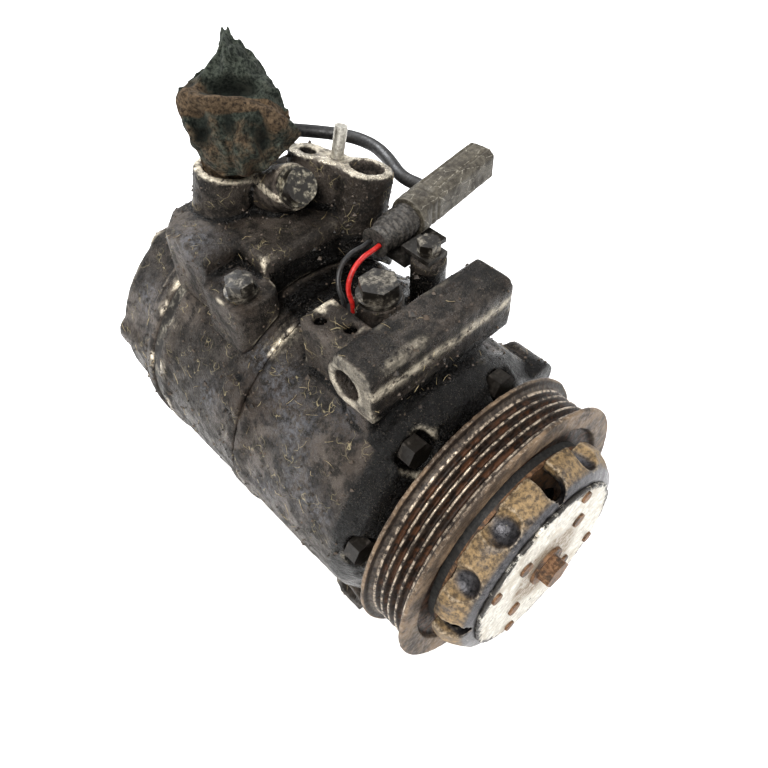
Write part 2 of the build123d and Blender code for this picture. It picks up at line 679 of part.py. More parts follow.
def bracket():
    """The bent strip from its bolt down to a seat under the connector."""
    x, y, top = boss_two
    low, bend, end = bracket_top - sheet, y + 9.6, plug_at[1] + 9
    strip = block((x - 5, x + 5), (y - 5, bend), (top, top + sheet))
    strip += block((x - 5, x + 5), (bend - sheet, bend), (low, top + sheet))
    strip += block((x - 5, x + 18), (bend - sheet, end), (low, bracket_top))
    return strip - along("z", 3.2, top - 1, top + sheet + 1, x, y)


def hex_bolt(at, radius, flats, washer, low, height, depth):
    """A flanged hexagon bolt standing on its seat."""
    x, y = at[:2]
    screw = along("z", radius, low - depth, low, x, y) + along("z", washer, low, low + 1.3, x, y)
    return screw + hexagon_z(flats, low + 1.3, low + 1.3 + height, x, y)


def wire(points, radius):
    """A round cord of straight runs joined by arcs, and the radii of those arcs."""
    points = [Vector(*p) for p in points]
    radii = []
    for before, here, after in zip(points, points[1:], points[2:]):
        turn = math.radians((here - before).get_angle(after - here))
        shorter = min((here - before).length, (after - here).length)
        radii.append(0.45 * shorter / math.tan(turn / 2))
    path = FilletPolyline(*points, radius=radii)
    start = Plane(origin=points[0], z_dir=path % 0)
    cord = sweep(start * Circle(radius), path=path)
    share = cord.volume / (math.pi * radius ** 2 * path.length)
    print("cord radii", [round(r, 1) for r in radii], "length", round(path.length, 1), round(share, 4))
    return cord


wire_end_z = 60.0
cable_entry = 40.0            # from the boot's end along the connector


def beside(y, forward, rise=0.0):
    """A point in front of the boot, on the line of a wire that leaves it at y."""
    turn = math.radians(plug_turn)
    x = -forward
    return (plug_at[0] + x * math.cos(turn) - y * math.sin(turn),
            plug_at[1] + x * math.sin(turn) + y * math.cos(turn), plug_at[2] + rise)


black_route = [beside(2.2, 0), beside(2.2, 4.6), (8.6, 84.9, 77.2), (3.6, 84.4, 75.8), (-0.4, 82.8, 72.8),
               (-2.6, 80.4, 69.0), (-2.8, 77.6, 65.0), (-2.8, 77.6, wire_end_z)]
red_route = [beside(-2.2, 0), beside(-2.2, 4.6), (9.0, 79.0, 78.2), (3.6, 78.2, 76.6), (0.0, 77.4, 72.6),
             (-1.2, 76.4, 68.4), (-0.8, 74.8, 64.6), (-0.8, 74.8, wire_end_z)]
cable_route = [(*valve_at, valve_top), (*valve_at, 76.0), (13.0, 170.8, 84.0), (24.0, 169.8, 86.0),
               (35.0, 165.6, 83.6), (46.0, 159.6, 80.6), (55.4, 152.0, 78.6), (61.6, 142.0, 78.0),
               (62.6, 130.0, 78.2), (60.0, 119.0, 77.8), beside(plug_width / 2 + 12, -cable_entry),
               beside(plug_width / 2, -cable_entry)]

nodes["connector_housing"] = connector()
nodes["connector_boot"] = boot()
nodes["connector_bracket"] = bracket()
large_bolt = hex_bolt(boss_one, 4.0, 13, 8.5, boss_one[2], 5, 14)
small_bolt = hex_bolt(boss_two, 3.0, 8, 4.4, boss_two[2] + sheet, 3.5, 14)
nodes["harness_bolts"] = group([large_bolt, small_bolt])
nodes["black_wire"] = wire(black_route, wire_radius)
nodes["red_wire"] = wire(red_route, wire_radius)
nodes["valve_cable"] = wire(cable_route, cable_radius)
grommet = block((-6, 2.5), (73, 79.5), (body_radius - 5, wire_end_z))
nodes["wire_grommet"] = grommet - along("y", body_radius, 60, 90)


# ---- rag in the open suction port ----------------------------------------------
def rag():
    """The cloth stopper: a neck in the port and a crumpled mass above it."""
    neck = leaned_post(suction_bore - gap, suction_rim - 16, suction_rim + 22, suction_at)
    mass = Pos(4.0, suction_at[1] - 5.5, suction_rim + 31) * Rot(0, 8, 0) * scale(Sphere(1), by=(23, 15, 21))
    return neck + mass


nodes["rag_stopper"] = rag()

os.makedirs("parts", exist_ok=True)
for name, shape in nodes.items():
    export_step(shape, f"parts/{name}.step")
print(len(nodes), "nodes")
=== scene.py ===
import bpy
import bmesh
import math
import numpy as np
from mathutils import Matrix, Vector


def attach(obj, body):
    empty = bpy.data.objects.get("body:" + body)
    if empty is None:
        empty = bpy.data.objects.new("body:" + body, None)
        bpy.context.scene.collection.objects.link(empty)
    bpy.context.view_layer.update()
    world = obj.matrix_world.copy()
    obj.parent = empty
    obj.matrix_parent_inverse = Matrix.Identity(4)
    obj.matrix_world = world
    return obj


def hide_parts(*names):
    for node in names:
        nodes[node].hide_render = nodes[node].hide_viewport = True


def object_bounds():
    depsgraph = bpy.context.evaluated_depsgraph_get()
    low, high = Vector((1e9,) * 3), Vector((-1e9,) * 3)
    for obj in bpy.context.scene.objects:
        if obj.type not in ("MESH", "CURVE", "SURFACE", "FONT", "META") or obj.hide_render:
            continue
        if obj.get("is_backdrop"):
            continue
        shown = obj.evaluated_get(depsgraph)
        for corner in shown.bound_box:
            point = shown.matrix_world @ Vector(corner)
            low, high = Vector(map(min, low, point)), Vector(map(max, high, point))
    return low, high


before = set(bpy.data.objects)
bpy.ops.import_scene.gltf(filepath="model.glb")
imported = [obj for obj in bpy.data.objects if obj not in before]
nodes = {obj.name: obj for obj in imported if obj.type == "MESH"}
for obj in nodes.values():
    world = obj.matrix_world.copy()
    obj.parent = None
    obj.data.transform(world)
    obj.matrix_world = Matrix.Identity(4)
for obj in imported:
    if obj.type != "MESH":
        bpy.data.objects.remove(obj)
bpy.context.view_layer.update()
mm = 0.001
print("frame loaded:", len(nodes), "nodes")

# camera at the height and turn of somebody who looks down on a bench
cameraSet = {"place": (-0.1255, -0.0814, 0.2495), "forward": (0.43388616, 0.48752452, -0.75766922),
             "roll": -1.818, "lens": 34.11, "sensor": 36.0}


def makeCamera():
    data = bpy.data.cameras.new("benchCamera")
    data.sensor_width, data.lens = cameraSet["sensor"], cameraSet["lens"]
    data.clip_start, data.clip_end = 0.01, 20
    camera = bpy.data.objects.new("benchCamera", data)
    bpy.context.scene.collection.objects.link(camera)
    forward = Vector(cameraSet["forward"]).normalized()
    level = forward.cross(Vector((0, 0, 1))).normalized()
    right = Matrix.Rotation(math.radians(-cameraSet["roll"]), 3, forward) @ level
    turn = Matrix((right, right.cross(forward), -forward)).transposed()
    camera.matrix_world = Matrix.Translation(cameraSet["place"]) @ turn.to_4x4()
    bpy.context.scene.camera = camera


makeCamera()
print("camera placed")


# noise from -1 to 1: random values on a cubic lattice of the given grain, blended with s*s*(3-2s)
def lumps(points, grain, seed, size=32):
    table = np.random.default_rng(seed).random((size, size, size))
    place = points / grain + 7.3
    low = np.floor(place).astype(int)
    s = place - low
    s = s * s * (3 - 2 * s)
    total = np.zeros(len(points))
    for i in (0, 1):
        for j in (0, 1):
            for k in (0, 1):
                share = np.ones(len(points))
                for axis, step in enumerate((i, j, k)):
                    share = share * (s[:, axis] if step else 1 - s[:, axis])
                total += share * table[tuple(((low + (i, j, k)) % size).T)]
    return total * 2 - 1


# 0 below low, 1 above high, and a smooth step between
def step(values, low, high):
    s = np.clip((values - low) / (high - low), 0, 1)
    return s * s * (3 - 2 * s)


# 1 at a place in millimetres, falling to 0 at the reach as a bell
def patch(points, place, reach):
    distance = np.linalg.norm(points - np.array(place) * mm, axis=1) / (reach * mm)
    return np.exp(-2.5 * distance ** 2)


def vectorsOf(items, name, count=3):
    out = np.zeros(len(items) * count, np.float32)
    items.foreach_get(name, out)
    return out.reshape(-1, count).astype(float)


def edgesOf(mesh):
    out = np.zeros(len(mesh.edges) * 2, np.int32)
    mesh.edges.foreach_get("vertices", out)
    return out.reshape(-1, 2)


# every value moves by share towards the mean of its neighbours, as often as rounds says
def relaxed(values, edges, share, rounds):
    count = np.maximum(np.bincount(edges.ravel(), minlength=len(values)), 1)[:, None]
    for _ in range(rounds):
        total = np.stack([np.bincount(edges[:, 0], column[edges[:, 1]], len(values))
                          + np.bincount(edges[:, 1], column[edges[:, 0]], len(values))
                          for column in values.T], axis=1)
        values = values + share * (total / count - values)
    return values


def movePoints(mesh, points):
    mesh.vertices.foreach_set("co", points.astype(np.float32).ravel())
    mesh.update()


def paint(mesh, name, values):
    layer = mesh.attributes.get(name) or mesh.attributes.new(name, "FLOAT", "POINT")
    layer.data.foreach_set("value", np.clip(values, 0, 1).astype(np.float32))


# a surface over a grid of points, rows x columns, whose last column joins the first
def tubeMesh(name, grid):
    rows, columns = grid.shape[:2]
    index = np.arange(rows * columns).reshape(rows, columns)
    above, below = index[:-1], index[1:]
    faces = np.stack([above, np.roll(above, -1, 1), np.roll(below, -1, 1), below], axis=-1)
    faces = faces.reshape(-1, 4).tolist()
    mesh = bpy.data.meshes.new(name)
    mesh.from_pydata(grid.reshape(-1, 3).tolist(), [], faces)
    work = bmesh.new()
    work.from_mesh(mesh)
    bmesh.ops.remove_doubles(work, verts=work.verts, dist=1e-7)
    bmesh.ops.recalc_face_normals(work, faces=work.faces)
    work.to_mesh(mesh)
    work.free()
    return mesh


# a merged copy of a CAD node, rebuilt from cubes of one size so that its faces are even
def evenCopy(node, cube):
    mesh = nodes[node].data.copy()
    work = bmesh.new()
    work.from_mesh(mesh)
    bmesh.ops.remove_doubles(work, verts=work.verts, dist=1e-6)
    work.to_mesh(mesh)
    work.free()
    holder = bpy.data.objects.new("holder", mesh)
    bpy.context.scene.collection.objects.link(holder)
    rebuild = holder.modifiers.new("even", "REMESH")
    rebuild.mode, rebuild.voxel_size = "VOXEL", cube * mm
    view = bpy.context.evaluated_depsgraph_get()
    even = bpy.data.meshes.new_from_object(holder.evaluated_get(view))
    bpy.data.objects.remove(holder)
    bpy.data.meshes.remove(mesh)
    return even


def addPiece(name, mesh, body, finish, replaces=(), smooth=True):
    mesh.materials.clear()
    mesh.materials.append(finish)
    if smooth:
        mesh.polygons.foreach_set("use_smooth", np.ones(len(mesh.polygons), bool))
    mesh.update()
    piece = bpy.data.objects.new(name, mesh)
    bpy.context.scene.collection.objects.link(piece)
    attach(piece, body)
    if replaces:
        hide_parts(*replaces)
    return piece


# the nodes of one material, with short names for what this object's finishes use
class Finish:
    def __init__(self, name, **sockets):
        self.material = bpy.data.materials.new(name)
        self.material.use_nodes = True
        self.tree = self.material.node_tree
        self.shader = self.tree.nodes["Principled BSDF"]
        self.place = self.tree.nodes.new("ShaderNodeTexCoord").outputs["Object"]
        for socket, value in sockets.items():
            self.shader.inputs[socket.replace("_", " ")].default_value = value

    def node(self, kind, **settings):
        made = self.tree.nodes.new("ShaderNode" + kind)
        for name, value in settings.items():
            setattr(made, name, value)
        return made

    def feed(self, socket, value):
        if isinstance(value, bpy.types.NodeSocket):
            self.tree.links.new(value, socket)
        elif isinstance(value, tuple) and len(value) == 3 and socket.type == "RGBA":
            socket.default_value = (*value, 1)
        else:
            socket.default_value = value

    def noise(self, scale, detail=4, roughness=0.55, place=None, distortion=0):
        made = self.node("TexNoise")
        self.feed(made.inputs["Vector"], place or self.place)
        made.inputs["Scale"].default_value = scale
        made.inputs["Detail"].default_value = detail
        made.inputs["Roughness"].default_value = roughness
        made.inputs["Distortion"].default_value = distortion
        return made.outputs["Fac"]

    def cells(self, scale, feature="F1", place=None):
        made = self.node("TexVoronoi", feature=feature)
        self.feed(made.inputs["Vector"], place or self.place)
        made.inputs["Scale"].default_value = scale
        return made.outputs["Distance"]

    def painted(self, name):
        return self.node("Attribute", attribute_name=name).outputs["Fac"]

    def math(self, operation, a, b=0.5, clamp=False):
        made = self.node("Math", operation=operation, use_clamp=clamp)
        self.feed(made.inputs[0], a)
        self.feed(made.inputs[1], b)
        return made.outputs[0]

    def between(self, value, low, high, start=0.0, end=1.0):
        made = self.node("MapRange", interpolation_type="SMOOTHSTEP")
        for name, given in (("Value", value), ("From Min", low), ("From Max", high), ("To Min", start),
                            ("To Max", end)):
            self.feed(made.inputs[name], given)
        return made.outputs["Result"]

    def mix(self, share, a, b, blend="MIX"):
        made = self.node("Mix", data_type="RGBA", blend_type=blend)
        self.feed(made.inputs["Factor"], share)
        self.feed(made.inputs[6], a)
        self.feed(made.inputs[7], b)
        return made.outputs[2]

    def stretched(self, x, y, z, place=None):
        made = self.node("Mapping")
        self.feed(made.inputs["Vector"], place or self.place)
        made.inputs["Scale"].default_value = (x, y, z)
        return made.outputs["Vector"]

    def fromShaft(self):
        # distance from the shaft, and the place along it
        parts = self.node("SeparateXYZ")
        self.feed(parts.inputs[0], self.place)
        flat = self.node("CombineXYZ")
        self.feed(flat.inputs[0], parts.outputs[0])
        self.feed(flat.inputs[2], parts.outputs[2])
        size = self.node("VectorMath", operation="LENGTH")
        self.feed(size.inputs[0], flat.outputs[0])
        return size.outputs["Value"], parts.outputs[1]

    def bump(self, height, depth, strength=1.0, below=None):
        made = self.node("Bump")
        made.inputs["Strength"].default_value = strength
        made.inputs["Distance"].default_value = depth * mm
        self.feed(made.inputs["Height"], height)
        if below is not None:
            self.feed(made.inputs["Normal"], below)
        self.feed(self.shader.inputs["Normal"], made.outputs[0])
        return made.outputs[0]

    def finish(self, **sockets):
        for socket, value in sockets.items():
            self.feed(self.shader.inputs[socket.replace("_", " ")], value)
        return self.material


# dirt, wear and painted light of the raw castings: broad mottle, blue-grey dust, black oil together with
# painted shade in hollows and corners, rubbed edges that are partly painted highlights, fine scratches
grimeSet = {"deep": (0.006, 0.005, 0.004), "brown": (0.031, 0.023, 0.0175), "grey": (0.088, 0.074, 0.063),
            "dust": (0.105, 0.107, 0.118), "oil_and_shade": (0.0012, 0.0010, 0.0009), "rubbed": (0.78, 0.70, 0.56),
            "bare": (0.54, 0.49, 0.40), "hair": (0.42, 0.36, 0.22)}


def grimyCasting(name="grimyCasting"):
    f = Finish(name, Specular_IOR_Level=0.24)
    broad, middle, fine = f.noise(38, 5), f.noise(170, 5, 0.65), f.noise(900, 4, 0.7)
    speck = f.noise(2400, 3, 0.7)
    colour = f.mix(f.between(broad, 0.35, 0.68), grimeSet["brown"], grimeSet["grey"])
    colour = f.mix(f.between(middle, 0.44, 0.60, 0.0, 0.88), colour, grimeSet["deep"])
    colour = f.mix(f.between(f.noise(22, 3, 0.6), 0.44, 0.60, 0.0, 0.62), colour, grimeSet["deep"])
    colour = f.mix(f.between(fine, 0.52, 0.70, 0.0, 0.60), colour, grimeSet["grey"])
    dusty = f.math("MULTIPLY", f.painted("dust"), f.between(f.noise(420, 6, 0.8), 0.42, 0.62))
    colour = f.mix(dusty, colour, grimeSet["dust"])
    crust = f.between(f.cells(520), 0.25, 0.05, 0.0, 0.55)
    colour = f.mix(f.math("MULTIPLY", crust, f.between(middle, 0.38, 0.55)), colour, grimeSet["deep"])
    uneven = f.math("MULTIPLY", f.noise(240, 4, 0.7), 0.5)
    # black oil together with painted shade: this colour also darkens the hollows, the places under and behind
    # the bar, the shoulder beside the pulley and the corner at the port block
    oilAndShadeShare = f.between(f.math("ADD", f.painted("oil_and_shade"), uneven), 0.55, 0.95)
    colour = f.mix(oilAndShadeShare, colour, grimeSet["oil_and_shade"])
    grain = f.math("MULTIPLY", f.between(speck, 0.60, 0.68, 0.0, 0.55), f.between(broad, 0.3, 0.6))
    colour = f.mix(grain, colour, (0.26, 0.225, 0.18))
    swirl = f.noise(60, 3, 0.5)
    bend = f.node("VectorMath", operation="MULTIPLY_ADD")
    f.feed(bend.inputs[0], swirl)
    bend.inputs[1].default_value = (0.03, 0.05, 0.04)
    f.feed(bend.inputs[2], f.place)
    bent = f.stretched(1.0, 0.45, 0.8, bend.outputs[0])
    lines = f.between(f.cells(210, "DISTANCE_TO_EDGE", bent), 0.022, 0.004)
    hairs = f.math("MULTIPLY", lines, f.between(f.noise(120, 2), 0.52, 0.62))
    hairs = f.math("MULTIPLY", hairs, f.between(oilAndShadeShare, 0.6, 0.1))
    colour = f.mix(f.math("MULTIPLY", hairs, 0.55), colour, grimeSet["hair"])
    # rubbed edges: real wear together with painted highlights along convex edges, lightened to the rubbed
    # colour
    wearAndHighlight = f.math("MULTIPLY", f.painted("wear"), f.between(f.noise(330, 5, 0.75), 0.36, 0.60))
    wearAndHighlight = f.math("MULTIPLY", wearAndHighlight, f.between(oilAndShadeShare, 1.0, 0.2, 0.35, 1.0))
    colour = f.mix(wearAndHighlight, colour, grimeSet["rubbed"])
    bare = f.math("MULTIPLY", f.painted("bare"), f.between(f.noise(190, 6, 0.75), 0.38, 0.56, 0.12, 1.0))
    colour = f.mix(bare, colour, grimeSet["bare"])
    shine = f.math("MAXIMUM", f.math("MULTIPLY", wearAndHighlight, 0.55), f.math("MULTIPLY", bare, 0.85))
    rough = f.between(middle, 0.3, 0.7, 0.26, 0.66)
    rough = f.math("SUBTRACT", rough, f.math("MULTIPLY", oilAndShadeShare, 0.22))
    rough = f.math("SUBTRACT", rough, f.math("MULTIPLY", shine, 0.28), clamp=True)
    first = f.bump(f.math("ADD", f.math("MULTIPLY", middle, 1.0), f.math("MULTIPLY", fine, 0.6)), 1.2)
    second = f.bump(f.math("ADD", speck, f.math("MULTIPLY", crust, -1.2)), 0.22, 0.9, first)
    f.bump(hairs, 0.12, 1.0, second)
    return f.finish(Base_Color=colour, Metallic=shine, Roughness=rough)


castingFinish = grimyCasting()

# castings: cube is the even face size, smooth the rounds that soften edges, crust the height of the dirt
castingSet = {
    "front_housing": {"cube": 1.10, "smooth": 3, "crust": 0.36},
    "cylinder_block": {"cube": 1.05, "smooth": 2, "crust": 0.26},
    "rear_housing": {"cube": 1.00, "smooth": 3, "crust": 0.40},
    "port_block": {"cube": 0.78, "smooth": 4, "crust": 0.32},
}
lean = math.radians(15)
portFaceHeight, suctionRimHeight = 97.0 * mm, 86.0 * mm


# height above the shaft square to the leaned port faces
def portHeight(p):
    return p[:, 0] * math.sin(lean) + p[:, 2] * math.cos(lean)


def insideOf(node, p):
    # 1 where a surface faces a chamber or a bore that nobody sees
    r, y = np.hypot(p[:, 0], p[:, 2]) / mm, p[:, 1] / mm
    if node == "front_housing":
        return ((r < 54.6) & (y > 24)) | (r < 19)
    if node == "cylinder_block":
        return r < 55.5
    if node == "rear_housing":
        return (r < 47.5) & (y < 176)
    return np.zeros(len(p), bool)


# how black each point is painted: real oil together with painted shade in hollows, beside the pulley, under
# and behind the bar and at the front of the port block
def oilAndShadeOf(node, p, hollow):
    x, y, z = (p / mm).T
    # a little oil everywhere, and painted shade in the hollows
    oil_and_shade = 0.25 + 0.75 * hollow
    if node == "front_housing":
        # painted shade with oil on the shoulder beside the pulley and on the front face, painted shadow under
        # the bar, painted shade with oil behind the bar
        besidePulley = step(y, 36, 22)
        underBar = step(y, 40, 30) * (z > 48) * (z < 83) * step(np.abs(x + 2), 36, 27)
        behindBar = (y > 47) * (z > 40) * step(x, -8, 4) * step(z, 73, 68)
        front = 0.8 * step(y, 40, 24) * (x > -20)
        oil_and_shade = np.maximum.reduce([oil_and_shade, besidePulley, underBar, 0.95 * behindBar, front])
        # the bar itself is set to a middle darkness
        oil_and_shade = np.where((z > 66) & (y < 47.5) & (np.abs(x) < 35), 0.50, oil_and_shade)
    # on the cylinder block and the port block: painted shade with oil in the corner at the front of the port
    # block
    if node == "cylinder_block":
        oil_and_shade = np.maximum(oil_and_shade, 0.9 * step(x, -22, -12) * (z > 20) * step(y, 112, 96))
    if node == "port_block":
        oil_and_shade = np.maximum(oil_and_shade, 0.85 * step(y, 112, 104) * (x > -16) * step(z, 74, 66))
    return oil_and_shade


def dustOf(node, p):
    if node == "front_housing":
        places = [((-42, 62, 38), 17), ((-50, 50, 22), 15), ((-36, 78, 46), 13), ((-54, 66, 6), 15),
                  ((-28, 44, 52), 12), ((-52, 36, 20), 10)]
    elif node == "cylinder_block":
        places = [((-34, 92, 48), 12), ((-52, 108, 24), 12)]
    elif node == "port_block":
        places = [((-26, 112, 66), 10), ((-30, 135, 76), 14)]
    else:
        places = [((-44, 165, 34), 14), ((30, 175, 30), 16)]
    return 0.85 * sum(patch(p, place, reach) for place, reach in places)


def makeCasting(node):
    chosen = castingSet[node]
    mesh = evenCopy(node, chosen["cube"])
    edges = edgesOf(mesh)
    points = relaxed(vectorsOf(mesh.vertices, "co"), edges, 0.5, chosen["smooth"])
    movePoints(mesh, points)
    normals = vectorsOf(mesh.vertex_normals, "vector")
    hidden = insideOf(node, points)
    # how far a point stands out from, or lies below, the mean of its surroundings
    stands = np.sum((points - relaxed(points, edges, 0.5, 8)) * normals, axis=1) / mm
    wide = np.sum((points - relaxed(points, edges, 0.5, 40)) * normals, axis=1) / mm
    # convex edges: wear together with a painted edge highlight
    wear = 1.3 * step(stands, 0.09, 0.30) * step(lumps(points, 11 * mm, 5), 0.30, 0.58)
    # how deep a point lies in a hollow: the dirt is thicker there, and painted shade goes there through the
    # oil mask
    hollow = step(-wide, 0.10, 0.9)
    height = 0.55 * lumps(points, 13 * mm, 1) + 0.35 * lumps(points, 5 * mm, 2)
    height = height + 0.28 * lumps(points, 2.3 * mm, 3)
    height = chosen["crust"] * (height + 1.1 * hollow * (0.6 + lumps(points, 3.4 * mm, 4))) * mm
    bare = np.zeros(len(points))
    if node == "port_block":
        top = portHeight(points)
        face = (top > portFaceHeight - 0.7 * mm) & (normals[:, 2] > 0.8)
        rim = step(top, suctionRimHeight - 1.2 * mm, suctionRimHeight - 0.3 * mm) * (points[:, 0] < 0.012)
        bare = face * 1.0
        wear = np.maximum(wear, rim * (top < suctionRimHeight + 2 * mm) * 0.9)
        height = height * (1 - 0.9 * face)
    if node == "front_housing":
        ends = (np.abs(points[:, 0]) > 32.8 * mm) & (points[:, 2] > 60 * mm) & (np.abs(normals[:, 0]) > 0.7)
        # the bar's ends are rubbed bright only round the bore; along the lower edge the bar gets a bright
        # line, partly wear and partly painted highlight
        fromBore = np.hypot(points[:, 1] / mm - 41, points[:, 2] / mm - 71.7)
        bare = ends * np.maximum(0.8 * step(fromBore, 9.5, 7.0), 0.30)
        height = height * (1 - 0.8 * ends)
        lowerEdge = patch(points * (0, 1, 1), (0, 28.6, 75.6), 3.2) * (np.abs(points[:, 0]) < 34 * mm)
        onBar = (points[:, 2] > 60 * mm) & (points[:, 1] < 48 * mm) & (np.abs(points[:, 0]) < 35 * mm)
        wear = np.maximum(wear * np.where(onBar, 0.45, 1.0), 0.8 * lowerEdge)
    height = np.where(hidden, -0.4 * mm, height)
    movePoints(mesh, points + normals * height[:, None])
    paint(mesh, "wear", np.where(hidden, 0, wear))
    # the oil mask holds real oil and painted shade, with the shade deepest in hollows
    paint(mesh, "oil_and_shade", oilAndShadeOf(node, points, hollow))
    paint(mesh, "dust", dustOf(node, points))
    paint(mesh, "bare", bare)
    addPiece(node + "_cast", mesh, "root", castingFinish, [node])
    print("casting", node, "faces", len(mesh.polygons))
    return mesh


castings = {node: makeCasting(node) for node in castingSet}


# pulley: bright crests, dark rusty grooves, brown flanges
def pulleySteel():
    f = Finish("pulleySteel", Specular_IOR_Level=0.25)
    radius, along = f.fromShaft()
    ring = f.node("CombineXYZ")
    f.feed(ring.inputs[0], radius)
    f.feed(ring.inputs[1], along)
    turned = f.noise(2600, 3, 0.6, ring.outputs[0])
    patchy, fine = f.noise(85, 5, 0.7), f.noise(700, 5, 0.7)
    # how high on a rib: 0 at the bottom of a groove, 1 at its crest
    height = f.between(radius, 0.0521, 0.05495)
    onRibs = f.math("MULTIPLY", f.between(along, -0.0092, -0.0090), f.between(along, 0.0092, 0.0090))
    colour = f.mix(f.between(fine, 0.35, 0.65), (0.012, 0.009, 0.008), (0.050, 0.038, 0.030))
    rust = f.mix(f.between(f.noise(260, 5), 0.4, 0.62), (0.010, 0.006, 0.004), (0.075, 0.035, 0.018))
    rusty = f.math("MULTIPLY", f.between(height, 0.85, 0.30), f.between(patchy, 0.36, 0.58, 0.35, 1.0))
    colour = f.mix(f.math("MULTIPLY", rusty, onRibs), colour, rust)
    flange = f.math("SUBTRACT", 1.0, onRibs)
    tan = f.mix(f.between(patchy, 0.40, 0.62), (0.048, 0.034, 0.024), (0.17, 0.120, 0.078))
    colour = f.mix(f.math("MULTIPLY", flange, 0.9), colour, tan)
    colour = f.mix(f.between(f.noise(150, 6, 0.75), 0.56, 0.66, 0.0, 0.8), colour, (0.022, 0.017, 0.014))
    crest = f.math("MULTIPLY", f.between(height, 0.90, 1.0), onRibs)
    crest = f.math("MULTIPLY", crest, f.between(radius, 0.0564, 0.0556))
    grooved = f.math("MULTIPLY", f.between(along, -0.0078, -0.0072), f.between(along, 0.0078, 0.0072))
    crest = f.math("MULTIPLY", crest, f.math("MAXIMUM", grooved, 0.12))
    crest = f.math("MULTIPLY", crest, f.between(f.noise(420, 4, 0.7), 0.40, 0.62))
    lip = f.math("MULTIPLY", f.between(radius, 0.0579, 0.0583), f.between(fine, 0.50, 0.66, 0.0, 0.4))
    bright = f.math("MAXIMUM", crest, lip)
    colour = f.mix(bright, colour, f.mix(turned, (0.30, 0.235, 0.175), (0.62, 0.54, 0.44)))
    rough = f.between(fine, 0.3, 0.7, 0.38, 0.68)
    first = f.bump(f.math("ADD", f.math("MULTIPLY", turned, 0.5), fine), 0.25, 0.8)
    f.bump(patchy, 0.35, 0.8, first)
    return f.finish(Base_Color=colour, Metallic=f.math("ADD", 0.12, f.math("MULTIPLY", bright, 0.7)),
                    Roughness=f.math("SUBTRACT", rough, f.math("MULTIPLY", bright, 0.12)))


def makePulley():
    mesh = evenCopy("belt_pulley", 0.62)
    points = relaxed(vectorsOf(mesh.vertices, "co"), edgesOf(mesh), 0.5, 1)
    radius = np.hypot(points[:, 0], points[:, 2])
    dent = (lumps(points, 6 * mm, 21) * 0.10 + lumps(points, 1.8 * mm, 22) * 0.07) * mm
    keep = (np.abs(points[:, 1]) < 9.2 * mm) * (radius > 0.051)
    inner = radius < 0.036
    normals = vectorsOf(mesh.vertex_normals, "vector")
    movePoints(mesh, points + normals * (dent * (1 - 0.6 * keep) * (1 - inner))[:, None])
    addPiece("belt_pulley_rim", mesh, "rotor", pulleySteel(), ["belt_pulley"])
    print("pulley faces", len(mesh.polygons))


makePulley()


def hubSteel():
    f = Finish("hubSteel")
    radius = f.fromShaft()[0]
    broad, fine, speck = f.noise(120, 5, 0.65), f.noise(600, 5, 0.7), f.noise(2600, 3)
    colour = f.mix(f.between(fine, 0.35, 0.65), (0.030, 0.030, 0.033), (0.095, 0.092, 0.098))
    ochre = f.mix(f.between(fine, 0.38, 0.62), (0.085, 0.055, 0.024), (0.29, 0.195, 0.088))
    # dust lies on the outward lobes and thins out in the flutes and towards the front edge
    lying = f.math("MULTIPLY", f.between(radius, 0.0412, 0.0436), f.between(broad, 0.34, 0.48, 0.35, 1.0))
    lying = f.math("MULTIPLY", lying, f.between(speck, 0.36, 0.50, 0.75, 1.0))
    colour = f.mix(f.math("MULTIPLY", lying, 0.85), colour, ochre)
    edge = f.math("MULTIPLY", f.painted("wear"), f.between(fine, 0.40, 0.64, 0.0, 0.7))
    colour = f.mix(edge, colour, (0.36, 0.31, 0.24))
    chips = f.between(f.noise(330, 5, 0.8), 0.62, 0.68)
    chips = f.math("MULTIPLY", chips, f.between(radius, 0.045, 0.041, 0.0, 0.8))
    colour = f.mix(chips, colour, (0.30, 0.27, 0.22))
    rough = f.math("ADD", f.between(fine, 0.3, 0.7, 0.26, 0.46), f.math("MULTIPLY", lying, 0.30))
    first = f.bump(f.math("ADD", fine, f.math("MULTIPLY", lying, 0.8)), 0.22)
    f.bump(speck, 0.08, 0.8, first)
    metal = f.math("SUBTRACT", 0.75, f.math("MULTIPLY", lying, 0.75))
    return f.finish(Base_Color=colour, Metallic=metal, Roughness=rough)


def makeHub():
    mesh = evenCopy("hub_cup", 0.62)
    edges = edgesOf(mesh)
    points = relaxed(vectorsOf(mesh.vertices, "co"), edges, 0.5, 3)
    movePoints(mesh, points)
    normals = vectorsOf(mesh.vertex_normals, "vector")
    stands = np.sum((points - relaxed(points, edges, 0.5, 10)) * normals, axis=1) / mm
    height = (lumps(points, 8 * mm, 31) * 0.18 + lumps(points, 2.6 * mm, 32) * 0.10) * mm
    radius = np.hypot(points[:, 0], points[:, 2])
    outside = step(radius, 0.036, 0.039) * (points[:, 1] < -13.2 * mm)
    movePoints(mesh, points + normals * (height * outside)[:, None])
    paint(mesh, "wear", step(stands, 0.08, 0.26))
    addPiece("hub_crown", mesh, "rotor", hubSteel(), ["hub_cup"])
    print("hub faces", len(mesh.polygons))


makeHub()


